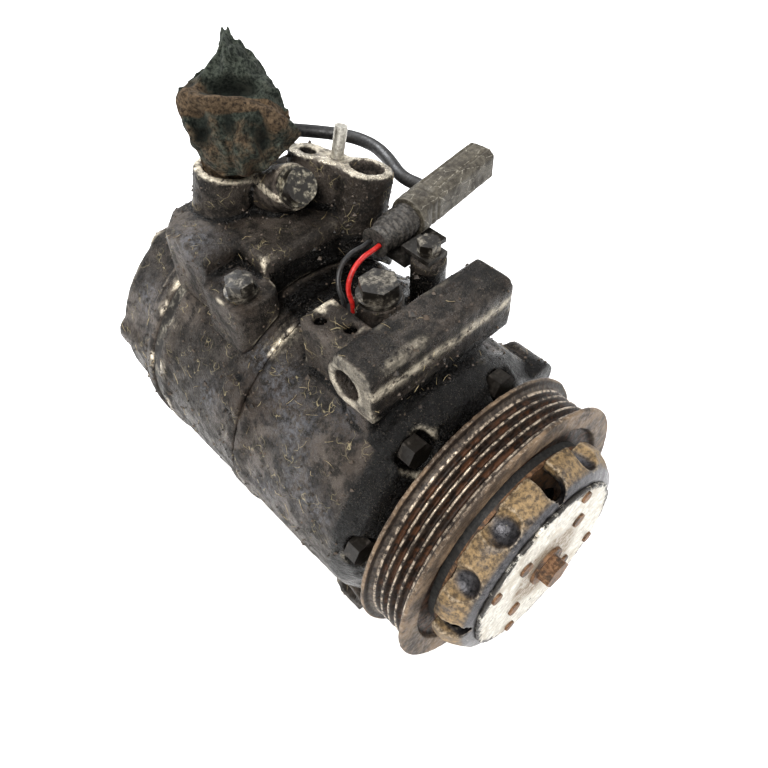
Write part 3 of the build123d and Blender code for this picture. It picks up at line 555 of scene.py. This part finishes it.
def wornFace():
    f = Finish("wornFace")
    radius = f.fromShaft()[0]
    broad, fine, speck = f.noise(75, 5, 0.7), f.noise(420, 6, 0.75), f.noise(1700, 4, 0.7)
    colour = f.mix(f.between(fine, 0.35, 0.65), (0.30, 0.28, 0.24), (0.66, 0.64, 0.585))
    colour = f.mix(f.between(broad, 0.52, 0.62, 0.0, 0.55), colour, (0.30, 0.25, 0.18))
    ring = f.math("MULTIPLY", f.between(radius, 0.0215, 0.0150), f.between(fine, 0.40, 0.56, 0.2, 0.9))
    colour = f.mix(ring, colour, (0.16, 0.115, 0.07))
    spots = f.between(f.noise(210, 6, 0.8), 0.60, 0.68)
    colour = f.mix(spots, colour, f.mix(speck, (0.10, 0.055, 0.03), (0.30, 0.17, 0.09)))
    chip = f.between(f.math("ADD", f.math("MULTIPLY", f.noise(160, 6, 0.8), 0.016), radius), 0.0440, 0.0446)
    chip = f.math("MAXIMUM", chip, f.between(f.noise(95, 6, 0.8, f.stretched(1, 1, 1.6)), 0.655, 0.675))
    colour = f.mix(chip, colour, (0.030, 0.027, 0.024))
    rough = f.between(fine, 0.3, 0.7, 0.34, 0.62)
    lift = f.math("ADD", f.math("MULTIPLY", chip, -1.6), f.math("ADD", fine, f.math("MULTIPLY", spots, 0.8)))
    f.bump(speck, 0.07, 0.8, f.bump(lift, 0.22))
    metal = f.math("SUBTRACT", 0.55, f.math("MULTIPLY", chip, 0.4))
    return f.finish(Base_Color=colour, Metallic=metal, Roughness=rough)


def makeFace():
    mesh = evenCopy("hub_face_disc", 0.5)
    points = relaxed(vectorsOf(mesh.vertices, "co"), edgesOf(mesh), 0.5, 1)
    radius = np.hypot(points[:, 0], points[:, 2])
    normals = vectorsOf(mesh.vertex_normals, "vector")
    rim = step(radius, 0.033, 0.0368)
    # the edge is eaten away unevenly, the face a little dished and dented
    broadBites = np.clip(lumps(points, 5 * mm, 41), 0, 1)
    smallBites = np.clip(lumps(points, 2 * mm, 42), 0, 1)
    eaten = rim * (0.9 * broadBites + 0.5 * smallBites) * mm
    inward = np.stack([-points[:, 0], 0 * radius, -points[:, 2]], axis=1) / np.maximum(radius, 1e-6)[:, None]
    dent = lumps(points, 7 * mm, 43) * 0.06 * mm * (normals[:, 1] < -0.5)
    moved = points + inward * eaten[:, None]
    moved[:, 1] += np.maximum(dent, 0)
    movePoints(mesh, moved)
    addPiece("hub_face", mesh, "rotor", wornFace(), ["hub_face_disc"])


makeFace()


# the loom to the control valve: each route is a line through these points with its corners rounded, in mm
plugTurn, plugCentre = math.radians(7.9), (18.5, 83.0, 77.0)


# a point beside the plug's axis: how far to its left and how far behind its front end
def beside(across, behind):
    c, s = math.cos(plugTurn), math.sin(plugTurn)
    return (plugCentre[0] - behind * c - across * s, plugCentre[1] - behind * s + across * c, plugCentre[2])


loomSet = {
    "black_wire": {"points": [beside(2.2, 0), beside(2.2, 4.6), (8.6, 84.9, 77.2), (3.6, 84.4, 75.8),
                              (-0.4, 82.8, 72.8), (-2.6, 80.4, 69.0), (-2.8, 77.6, 65.0), (-2.8, 77.6, 60)],
                   "rounds": [19.5, 12.7, 11.0, 10.7, 10.4, 7.0], "radius": 1.0},
    "red_wire": {"points": [beside(-2.2, 0), beside(-2.2, 4.6), (9.0, 79.0, 78.2), (3.6, 78.2, 76.6),
                            (0.0, 77.4, 72.6), (-1.2, 76.4, 68.4), (-0.8, 74.8, 64.6), (-0.8, 74.8, 60)],
                 "rounds": [17.5, 9.5, 8.8, 8.7, 9.1, 9.0], "radius": 1.0},
    "valve_cable": {"points": [(7, 170.1, 66.6), (7, 170.1, 76), (13, 170.8, 84), (24, 169.8, 86),
                               (35, 165.6, 83.6), (46, 159.6, 80.6), (55.4, 152, 78.6), (61.6, 142, 78),
                               (62.6, 130, 78.2),
                               (60, 119, 77.8), beside(18.9, -40), beside(6.9, -40)],
                    "rounds": [12.6, 11.2, 21.2, 79.6, 57.7, 29.8, 21.8, 31.6, 75.9, 20.9], "radius": 2.8},
}


# each corner becomes an arc that touches both of its lines
def rounded(points, rounds):
    points = [np.array(p, float) for p in points]
    line = [points[0]]
    for before, corner, after, radius in zip(points, points[1:], points[2:], rounds):
        inward, outward = corner - before, after - corner
        inward, outward = inward / np.linalg.norm(inward), outward / np.linalg.norm(outward)
        half = math.acos(max(-1.0, min(1.0, inward @ outward))) / 2
        if half < 1e-3:
            continue
        reach = radius * math.tan(half)
        middle = corner + (outward - inward) / np.linalg.norm(outward - inward) * radius / math.cos(half)
        start, end = corner - inward * reach - middle, corner + outward * reach - middle
        for t in np.linspace(0, 1, 9):
            swing = start * math.sin((1 - t) * 2 * half) + end * math.sin(t * 2 * half)
            line.append(middle + swing / math.sin(2 * half))
    line.append(points[-1])
    # evenly spaced points close together, so that the spline follows them
    line = np.array(line)
    run = np.concatenate([[0], np.cumsum(np.linalg.norm(np.diff(line, axis=0), axis=1))])
    keep = np.concatenate([[True], np.diff(run) > 1e-6])
    line, run = line[keep], run[keep]
    even = np.linspace(0, run[-1], max(12, int(run[-1] / 1.2)))
    return np.stack([np.interp(even, run, line[:, k]) for k in range(3)], axis=1), run[-1]


def sheath(name, deep, light, share, rough):
    f = Finish(name)
    fine, broad = f.noise(900, 4, 0.7), f.noise(160, 4, 0.65)
    colour = f.mix(f.between(fine, 0.38, 0.64, 0.0, share), deep, light)
    colour = f.mix(f.between(broad, 0.52, 0.66, 0.0, 0.75), colour, (0.012, 0.010, 0.008))
    f.bump(f.math("ADD", fine, broad), 0.12, 0.8)
    return f.finish(Base_Color=colour, Roughness=f.between(broad, 0.3, 0.7, rough, rough + 0.3))


blackSheath = sheath("blackSheath", (0.008, 0.008, 0.009), (0.05, 0.048, 0.045), 0.5, 0.34)
redSheath = sheath("redSheath", (0.30, 0.008, 0.008), (0.48, 0.035, 0.025), 0.8, 0.28)


def makeCord(node, finish):
    chosen = loomSet[node]
    line, length = rounded(chosen["points"], chosen["rounds"])
    data = bpy.data.curves.new(node + "_cord", "CURVE")
    data.dimensions, data.bevel_depth, data.bevel_resolution = "3D", chosen["radius"] * mm, 5
    data.use_fill_caps, data.resolution_u = True, 4
    spline = data.splines.new("NURBS")
    spline.points.add(len(line) - 1)
    for point, at in zip(spline.points, line * mm):
        point.co = (*at, 1.0)
    spline.order_u, spline.use_endpoint_u = 3, True
    data.materials.append(finish)
    cord = bpy.data.objects.new(node + "_cord", data)
    bpy.context.scene.collection.objects.link(cord)
    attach(cord, "root")
    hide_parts(node)
    print("cord", node, round(length, 1), "mm")


makeCord("black_wire", blackSheath)
makeCord("red_wire", redSheath)
makeCord("valve_cable", blackSheath)


def plasticFinish():
    f = Finish("connectorPlastic", Specular_IOR_Level=0.3)
    fine, broad, speck = f.noise(620, 5, 0.72), f.noise(150, 5, 0.65), f.noise(2200, 3)
    colour = f.mix(f.between(fine, 0.35, 0.62), (0.046, 0.040, 0.031), (0.092, 0.082, 0.064))
    colour = f.mix(f.between(broad, 0.48, 0.64, 0.0, 0.7), colour, (0.022, 0.018, 0.014))
    colour = f.mix(f.between(speck, 0.60, 0.68, 0.0, 0.7), colour, (0.020, 0.017, 0.014))
    scuffs = f.between(f.cells(150, "DISTANCE_TO_EDGE", f.stretched(0.5, 1.6, 1.2)), 0.03, 0.004)
    scuffs = f.math("MULTIPLY", scuffs, f.between(fine, 0.45, 0.6))
    rubbed = f.math("MAXIMUM", f.painted("wear"), f.math("MULTIPLY", scuffs, 0.6))
    colour = f.mix(rubbed, colour, (0.36, 0.34, 0.29))
    f.bump(speck, 0.06, 0.8, f.bump(f.math("ADD", fine, broad), 0.22))
    return f.finish(Base_Color=colour, Roughness=f.between(broad, 0.3, 0.7, 0.38, 0.66))


plugAxis = np.array([math.cos(plugTurn), math.sin(plugTurn), 0])


# how far each point lies ahead of the plug's wire end, and its way off the plug's axis, in mm
def plugPlace(points):
    off = points / mm - np.array(plugCentre)
    along = off @ plugAxis
    return along, off - along[:, None] * plugAxis


def makeConnector():
    mesh = evenCopy("connector_housing", 0.42)
    edges = edgesOf(mesh)
    points = relaxed(vectorsOf(mesh.vertices, "co"), edges, 0.5, 3)
    movePoints(mesh, points)
    normals = vectorsOf(mesh.vertex_normals, "vector")
    along, aside = plugPlace(points)
    stands = np.sum((points - relaxed(points, edges, 0.5, 8)) * normals, axis=1) / mm
    across = aside @ np.array([-math.sin(plugTurn), math.cos(plugTurn), 0])
    outer = (np.maximum(np.abs(across), np.abs(aside[:, 2])) > 5.6) | (along < 24)
    # shallow channels: two across near the collar and two along each face
    cut = np.maximum.reduce([np.exp(-((along - at) / 0.7) ** 2) for at in (27.5, 31.0)])
    face = (np.abs(normals[:, 2]) > 0.7) * step(along, 33, 34.5)
    lengthwise = np.maximum.reduce([np.exp(-((across - at) / 0.55) ** 2) for at in (-3.6, 3.6)])
    cut = np.maximum(cut, face * lengthwise)
    dent = 0.10 * lumps(points, 5 * mm, 51) + 0.06 * lumps(points, 1.7 * mm, 52)
    movePoints(mesh, points + normals * ((dent - 0.55 * cut) * outer * mm)[:, None])
    paint(mesh, "wear", 0.8 * step(stands, 0.08, 0.24) * (0.4 + 0.6 * lumps(points, 4 * mm, 53)))
    addPiece("connector_shell", mesh, "root", plasticFinish(), ["connector_housing"])


def makeBoot():
    mesh = evenCopy("connector_boot", 0.32)
    points = relaxed(vectorsOf(mesh.vertices, "co"), edgesOf(mesh), 0.5, 2)
    movePoints(mesh, points)
    normals = vectorsOf(mesh.vertex_normals, "vector")
    along, aside = plugPlace(points)
    far = np.linalg.norm(aside, axis=1)
    # ribs round it, and it narrows to its wires
    rib = 0.42 * np.cos(along * 2 * math.pi / 2.9) * step(along, 1.5, 3.0) * step(along, 19, 17)
    slim = -1.5 * step(along, 10, 1)
    skin = (far > 3.8) * (np.abs(normals @ plugAxis) < 0.7)
    height = (rib + slim + 0.12 * lumps(points, 4 * mm, 54)) * skin * mm
    movePoints(mesh, points + normals * height[:, None])
    rubber = sheath("bootRubber", (0.012, 0.011, 0.010), (0.085, 0.076, 0.066), 0.8, 0.5)
    addPiece("boot", mesh, "root", rubber, ["connector_boot"])


makeConnector()
makeBoot()
print("loom made")


# the rag in the suction port, shaped as seen from in front and above; right and up span that view, in mm
ragSet = {
    "centre": (4.0, 141.0, 117.0), "depth": 13.5,
    "outline": [(-1.7, 23.0), (1.0, 19.0), (2.6, 21.0), (5.0, 17.6), (7.5, 14.8), (12.0, 9.0), (15.6, 4.2),
                (17.6, -1.0), (18.2, -6.5), (23.5, -11.0), (20.5, -14.0), (16.0, -17.0), (12.5, -20.5),
                (8.0, -24.0), (0.0, -25.0), (-8.0, -24.5), (-13.0, -20.5), (-15.5, -14.5), (-18.2, -9.0),
                (-19.8, -2.5), (-18.2, 4.6), (-14.0, 8.2), (-11.6, 10.0), (-8.0, 14.5), (-5.0, 17.0),
                (-3.6, 21.0)],
    # lines that stand out towards the viewer: ends, height, width
    "folds": [((-17, 0), (-8, -2.5), 4.4, 3.0), ((-8, -2.5), (4, -2.8), 5.2, 2.6),
              ((4, -2.8), (12, -5.5), 4.0, 2.6), ((-1.5, 20), (-8.5, 8), 2.6, 1.7),
              ((-1, 19), (0, 8.5), 2.2, 1.5), ((0, 18), (9, 5), 2.6, 1.8), ((9, 5), (15, -3), 2.4, 2.0),
              ((-6, -6), (-1.5, -20), 3.4, 1.6), ((6, -7), (0.5, -20), 3.4, 1.6),
              ((1, -5), (0.2, -14), 1.6, 1.3), ((13, -9), (22, -11.5), 2.5, 2.0),
              ((-15, -5), (-8, -18), 2.4, 1.7), ((10, -9), (6, -19), 2.0, 1.5)],
    # places that sink away and get painted shade: centre, half sizes, depth
    "hollows": [((0.5, 3.4), (8.5, 2.9), 8.5), ((-9.5, -10.5), (3.0, 5.0), 5.5),
                ((10.0, -12.0), (2.6, 4.4), 5.0), ((0.0, -9.0), (2.2, 3.4), 2.6),
                ((-13.5, 5.5), (2.4, 2.0), 2.5)],
    "lumps": [((-14.0, 1.0), (5.2, 5.6), 5.0), ((15.5, -7.5), (4.0, 3.6), 3.0),
              ((-4.0, -3.0), (4.0, 2.4), 1.8)],
}
viewForward = np.array([0.43388616, 0.48752452, -0.75766922])
viewRight = np.cross(viewForward, (0, 0, 1))
viewRight = viewRight / np.linalg.norm(viewRight)
viewUp = np.cross(viewRight, viewForward)


def clothFinish():
    f = Finish("ragCloth")
    fine, broad, weave = f.noise(700, 5, 0.75), f.noise(120, 5, 0.7), f.noise(2600, 2, 0.6)
    teal = f.mix(f.between(fine, 0.36, 0.64), (0.008, 0.011, 0.009), (0.058, 0.066, 0.054))
    teal = f.mix(f.between(broad, 0.52, 0.66, 0.0, 0.7), teal, (0.085, 0.088, 0.072))
    brown = f.mix(f.between(fine, 0.36, 0.64), (0.022, 0.016, 0.011), (0.115, 0.082, 0.052))
    uneven = f.math("MULTIPLY", f.math("SUBTRACT", broad, 0.5), 1.2)
    share = f.between(f.math("ADD", f.painted("brown"), uneven), 0.35, 0.7)
    colour = f.mix(share, teal, brown)
    # painted shade: the cloth's sunken hollows darkened almost to black
    colour = f.mix(f.math("MULTIPLY", f.painted("hollow"), 0.85), colour, (0.006, 0.008, 0.007))
    colour = f.mix(f.between(f.noise(300, 4, 0.7), 0.60, 0.68, 0.0, 0.8), colour, (0.008, 0.007, 0.006))
    f.bump(weave, 0.10, 0.9, f.bump(f.math("ADD", fine, broad), 0.6))
    return f.finish(Base_Color=colour, Roughness=0.92, Specular_IOR_Level=0.2)


def thicken(piece):
    cloth = piece.modifiers.new("cloth", "SOLIDIFY")
    cloth.thickness, cloth.offset = 0.5 * mm, -1


def alongLine(s, t, a, b):
    a, b = np.array(a, float), np.array(b, float)
    run = b - a
    k = np.clip(((s - a[0]) * run[0] + (t - a[1]) * run[1]) / (run @ run), 0, 1)
    return np.hypot(s - a[0] - k * run[0], t - a[1] - k * run[1])


def makeRag():
    corners = np.array(ragSet["outline"])
    angles = np.arctan2(corners[:, 1] + 3, corners[:, 0])
    reach = np.hypot(corners[:, 0], corners[:, 1] + 3)
    order = np.argsort(angles)
    columns, rows = 300, 150
    around = np.linspace(-math.pi, math.pi, columns, endpoint=False)
    edge = np.interp(around, angles[order], reach[order], period=2 * math.pi)
    # from the point nearest the viewer, over the outline, to a mouth round the port behind
    slant = np.linspace(0.02, 0.86 * math.pi, rows)[:, None]
    out = np.sin(slant) ** 0.65 * edge
    s, outlineT = out * np.cos(around), out * np.sin(around) - 3
    t = outlineT + 3.2    # the folds lie that much lower than their lines say
    d = ragSet["depth"] * np.cos(slant) + 0 * around
    facing = step(np.cos(slant) + 0 * around, -0.15, 0.55)
    lift, hollow, brown = 0 * s, 0 * s, 0 * s
    for a, b, height, width in ragSet["folds"]:
        lift = np.maximum(lift, height * np.exp(-(alongLine(s, t, a, b) / width) ** 2))
    for (a, b), (u, v), height in ragSet["lumps"]:
        lift = lift + height * np.exp(-((s - a) / u) ** 2 - ((t - b) / v) ** 2)
        brown = np.maximum(brown, np.exp(-((s - a) / u / 1.5) ** 2 - ((t - b) / v / 1.5) ** 2))
    for (a, b), (u, v), height in ragSet["hollows"]:
        sunk = np.exp(-(((s - a) / u) ** 2 + ((t - b) / v) ** 2) ** 1.5)
        lift, hollow = lift - height * sunk, np.maximum(hollow, sunk)
    brown = np.maximum(brown, step(np.abs(t + 3.2), 3.6, 1.6) * step(np.abs(s), 21, 17))
    brown = np.maximum(brown, 0.55 * step(t, -5, -9))
    flat = np.stack([s, t, d], axis=-1).reshape(-1, 3) * mm
    # crumpling: creases are where a noise crosses its middle value
    creases = sum(size * (1 - np.abs(2 * lumps(flat * (1, 1, 0.6), grain * mm, seed) - 1) * 2.2)
                  for size, grain, seed in ((1.7, 8.5, 61), (0.75, 4.0, 62), (0.25, 1.8, 63)))
    creases = np.clip(creases, -3, 3).reshape(s.shape)
    deep = lift * facing + creases * np.sin(slant * 0.9 + 0.2)
    side = 1.07 + 0.022 * creases * np.sin(slant)
    # frayed tips: the rim of the outline splits into short spikes near the top
    top = np.exp(-((around - 1.62) / 0.10) ** 2) * np.sin(slant) ** 6
    s, t = s * side, outlineT * side + top * 2.0 * np.abs(np.sin(around * 40))
    d = d + deep
    centre = np.array(ragSet["centre"])
    grid = centre + s[..., None] * viewRight + t[..., None] * viewUp - d[..., None] * viewForward
    mesh = tubeMesh("rag", grid * mm)
    # hollow: where painted shade goes on the cloth; brown: the cloth's brown share
    values = {"hollow": hollow * facing, "brown": brown}
    if len(mesh.vertices) == s.size:
        for name, value in values.items():
            paint(mesh, name, value.reshape(-1))
    rag = addPiece("rag_cloth", mesh, "root", clothFinish(), ["rag_stopper"])
    thicken(rag)
    makeNeck(rag.data.materials[0])


# the gathered neck of the rag, pushed down the suction port
def makeNeck(clothMaterial):
    columns, rows = 160, 70
    around = np.linspace(0, 2 * math.pi, columns, endpoint=False)
    height = np.linspace(72, 108, rows)[:, None]
    pleat = 0.8 * np.cos(around * 9 + height * 0.10) + 0.5 * np.cos(around * 17 - height * 0.15)
    radius = np.interp(height, [72, 85, 92, 108], [8.0, 8.3, 10.5, 12.5])
    radius = radius + pleat * np.interp(height, [72, 90], [0.3, 1.0])
    a = suctionPort[0] + radius * np.cos(around)
    x = a * math.cos(lean) + height * math.sin(lean)
    z = -a * math.sin(lean) + height * math.cos(lean)
    y = suctionPort[1] + radius * np.sin(around)
    mesh = tubeMesh("ragNeck", np.stack([x, y, z], axis=-1) * mm)
    paint(mesh, "brown", np.full(len(mesh.vertices), 0.75))
    # painted shade: the neck, down in the port, is darkened a little
    paint(mesh, "hollow", np.full(len(mesh.vertices), 0.15))
    neck = addPiece("rag_neck", mesh, "root", clothMaterial)
    thicken(neck)


suctionPort = (-24.5, 146.5)
makeRag()


def steelFinish(name, dark, light, dirt, rough, metal, grime):
    f = Finish(name)
    fine, broad = f.noise(700, 5, 0.7), f.noise(190, 4, 0.65)
    colour = f.mix(f.between(fine, 0.36, 0.64), dark, light)
    dirty = f.between(broad, 0.62 - 0.30 * grime, 0.74 - 0.26 * grime)
    colour = f.mix(f.math("MULTIPLY", dirty, min(1.0, 0.4 + grime)), colour, dirt)
    f.bump(f.math("ADD", fine, broad), 0.14)
    metallic = f.math("SUBTRACT", metal, f.math("MULTIPLY", dirty, metal * 0.8))
    rough = f.between(fine, 0.3, 0.7, rough, rough + 0.25)
    return f.finish(Base_Color=colour, Metallic=metallic, Roughness=rough)


blackDirt = (0.010, 0.008, 0.006)
# each steel: dark and light tone, dirt, least roughness, metal share, grime share
steelSet = {
    "oilyBolt": ((0.045, 0.040, 0.034), (0.24, 0.22, 0.185), blackDirt, 0.30, 0.75, 0.75),
    "darkBolt": ((0.016, 0.014, 0.012), (0.085, 0.075, 0.065), blackDirt, 0.30, 0.5, 0.9),
    "rusty": ((0.075, 0.040, 0.022), (0.23, 0.135, 0.075), (0.030, 0.020, 0.014), 0.5, 0.35, 0.5),
    "edgeGrime": ((0.045, 0.040, 0.035), (0.26, 0.24, 0.20), blackDirt, 0.4, 0.6, 0.85),
    "stud": ((0.36, 0.34, 0.30), (0.66, 0.64, 0.58), (0.14, 0.12, 0.09), 0.26, 0.8, 0.3),
    "plug": ((0.075, 0.065, 0.050), (0.42, 0.39, 0.31), blackDirt, 0.32, 0.65, 0.75),
    "bracket": ((0.018, 0.017, 0.016), (0.10, 0.092, 0.082), blackDirt, 0.42, 0.5, 0.8),
    "bearing": ((0.38, 0.38, 0.38), (0.58, 0.58, 0.58), (0.10, 0.08, 0.05), 0.18, 0.95, 0.2),
    "shaft": ((0.42, 0.42, 0.43), (0.60, 0.60, 0.61), (0.12, 0.10, 0.06), 0.22, 0.95, 0.15),
    "alloy": ((0.46, 0.46, 0.47), (0.64, 0.64, 0.65), (0.16, 0.13, 0.08), 0.28, 0.9, 0.15),
}
nodeFinishes = {name: steelFinish(name + "Steel", *values) for name, values in steelSet.items()}
nodeFinishes["gasket"] = sheath("gasketCoat", (0.020, 0.018, 0.016), (0.06, 0.055, 0.05), 0.6, 0.55)
nodeFinishes["rubber"] = sheath("sealRubber", (0.010, 0.010, 0.010), (0.045, 0.042, 0.038), 0.6, 0.5)
nodeFinish = {
    "oilyBolt": ["port_block_bolts", "harness_bolts"], "darkBolt": ["through_bolts"],
    "rusty": ["hub_rivets", "centre_washer", "centre_bolt", "limiter_plate"], "stud": ["port_stud"],
    "plug": ["relief_valve", "control_valve"], "bracket": ["connector_bracket", "hub_boss"],
    "edgeGrime": ["valve_plate", "suction_reed_plate", "discharge_reed_plate"],
    "bearing": ["bearing_inner_race", "bearing_outer_race", "bearing_snap_ring", "bearing_balls",
                "bearing_cage", "front_radial_bearing", "front_thrust_bearing", "rear_radial_bearing"]
               + ["piston_shoes_%d" % k for k in range(1, 8)],
    "shaft": ["drive_shaft", "lug_plate", "swash_plate"], "alloy": ["piston_%d" % k for k in range(1, 8)],
    "gasket": ["block_gasket", "rear_gasket", "port_block_gasket"],
    "rubber": ["shaft_seal", "housing_seal_ring", "wire_grommet", "damper_ring"],
}


def finishNodes():
    for key, names in nodeFinish.items():
        for name in names:
            node = nodes[name]
            for slot in node.material_slots:
                slot.link = "OBJECT"
                slot.material = nodeFinishes[key]


finishNodes()
print("nodes finished")


# litter stuck in the grease: short bent fibres and dark crumbs, each one mesh riding on its casting
# fibres and crumbs on each casting
litterSet = {"front_housing": (110, 900), "cylinder_block": (45, 420), "port_block": (60, 600),
             "rear_housing": (40, 300)}


def litterFinish(name, deep, light):
    f = Finish(name, Roughness=0.62)
    colour = f.mix(f.between(f.noise(300, 3), 0.35, 0.65), deep, light)
    f.bump(f.noise(1500, 3), 0.05)
    return f.finish(Base_Color=colour)


fibreFinish = litterFinish("fibres", (0.17, 0.125, 0.060), (0.52, 0.43, 0.26))
crumbFinish = litterFinish("crumbs", (0.006, 0.005, 0.004), (0.075, 0.055, 0.040))


# a fibre is a three-sided tube along a bent line that follows the surface, 0.14 mm thick
def makeFibres(node, count, points, normals, chance):
    verts, faces = [], []
    for k in range(count):
        i = chance.integers(len(points))
        out = normals[i]
        aside = np.cross(out, chance.normal(size=3))
        aside = aside / max(np.linalg.norm(aside), 1e-9)
        other = np.cross(out, aside)
        length = chance.uniform(1.5, 5.5) * mm
        bend = chance.uniform(-0.5, 0.5)
        base = len(verts)
        for step01 in np.linspace(-0.5, 0.5, 6):
            middle = points[i] + aside * length * step01 + other * bend * length * (step01 ** 2 - 0.1)
            middle = middle + out * (0.25 + 0.9 * chance.random() * (1 - 4 * step01 ** 2) * (k % 3 == 0)) * mm
            for turn in range(3):
                a = turn * 2.0944
                verts.append(middle + (out * math.cos(a) + other * math.sin(a)) * 0.075 * mm)
        for ring in range(5):
            for turn in range(3):
                a, b = base + ring * 3 + turn, base + ring * 3 + (turn + 1) % 3
                faces.append((a, b, b + 3, a + 3))
        faces += [(base + 2, base + 1, base), (base + 15, base + 16, base + 17)]
    mesh = bpy.data.meshes.new(node + "Fibres")
    mesh.from_pydata([tuple(v) for v in verts], [], faces)
    addPiece(node + "_fibres", mesh, "root", fibreFinish)


# a crumb is a squashed irregular octahedron half sunk in the dirt
def makeCrumbs(node, count, points, chance):
    corners = np.array([(1, 0, 0), (-1, 0, 0), (0, 1, 0), (0, -1, 0), (0, 0, 1), (0, 0, -1)], float)
    sides = [(0, 2, 4), (2, 1, 4), (1, 3, 4), (3, 0, 4), (2, 0, 5), (1, 2, 5), (3, 1, 5), (0, 3, 5)]
    verts, faces = [], []
    for k in range(count):
        i = chance.integers(len(points))
        size = chance.uniform(0.25, 0.85) * (1 + (k % 17 == 0)) * mm
        base = len(verts)
        verts += [tuple(points[i] + c * size * chance.uniform(0.6, 1.2, 3)) for c in corners]
        faces += [tuple(base + j for j in side) for side in sides]
    mesh = bpy.data.meshes.new(node + "Crumbs")
    mesh.from_pydata(verts, [], faces)
    addPiece(node + "_crumbs", mesh, "root", crumbFinish, smooth=False)


def litter():
    for seed, (node, (fibres, crumbs)) in enumerate(litterSet.items()):
        mesh = castings[node]
        points, normals = vectorsOf(mesh.vertices, "co"), vectorsOf(mesh.vertex_normals, "vector")
        bare = np.zeros(len(points), np.float32)
        mesh.attributes["bare"].data.foreach_get("value", bare)
        radius = np.hypot(points[:, 0], points[:, 2])
        exposed = (~insideOf(node, points)) & (bare < 0.2) & (normals[:, 2] > -0.2)
        exposed &= (radius > 56.5 * mm) & (points[:, 1] > 22 * mm)
        chance = np.random.default_rng(70 + seed)
        makeFibres(node, fibres, points[exposed], normals[exposed], chance)
        makeCrumbs(node, crumbs, points[exposed], chance)


litter()
print("litter laid")


def areaLight(name, at, size, power, colour=(1, 1, 1)):
    data = bpy.data.lights.new(name, "AREA")
    data.size, data.energy, data.color = size, power, colour
    light = bpy.data.objects.new(name, data)
    light.location = at
    low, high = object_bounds()
    light.rotation_euler = ((low + high) / 2 - Vector(at)).to_track_quat("-Z", "Y").to_euler()
    bpy.context.scene.collection.objects.link(light)


def makeStudio():
    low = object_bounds()[0]
    half = 3.0
    floor = bpy.data.meshes.new("floor")
    corners = ((-half, -half), (half, -half), (half, half), (-half, half))
    floor.from_pydata([(x, y, low.z) for x, y in corners], [], [(0, 1, 2, 3)])
    f = Finish("paleFloor", Roughness=0.85)
    floor.materials.append(f.finish(Base_Color=(1.0, 1.0, 1.0)))
    piece = bpy.data.objects.new("floor", floor)
    bpy.context.scene.collection.objects.link(piece)
    piece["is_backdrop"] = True
    areaLight("keyLight", (-0.55, -0.25, 0.95), 0.45, 15, (1, 0.985, 0.96))
    areaLight("fillLight", (0.9, -0.6, 0.7), 0.8, 5)
    areaLight("backLight", (0.15, 1.0, 0.8), 0.6, 12, (0.95, 0.97, 1))
    world = bpy.data.worlds.new("studio")
    world.use_nodes = True
    world.node_tree.nodes["Background"].inputs["Color"].default_value = (1, 1, 1, 1)
    world.node_tree.nodes["Background"].inputs["Strength"].default_value = 0.62
    bpy.context.scene.world = world
    bpy.context.scene.view_settings.view_transform = "Standard"
    bpy.context.scene.view_settings.look = "Medium High Contrast"


makeStudio()
print("studio lit")
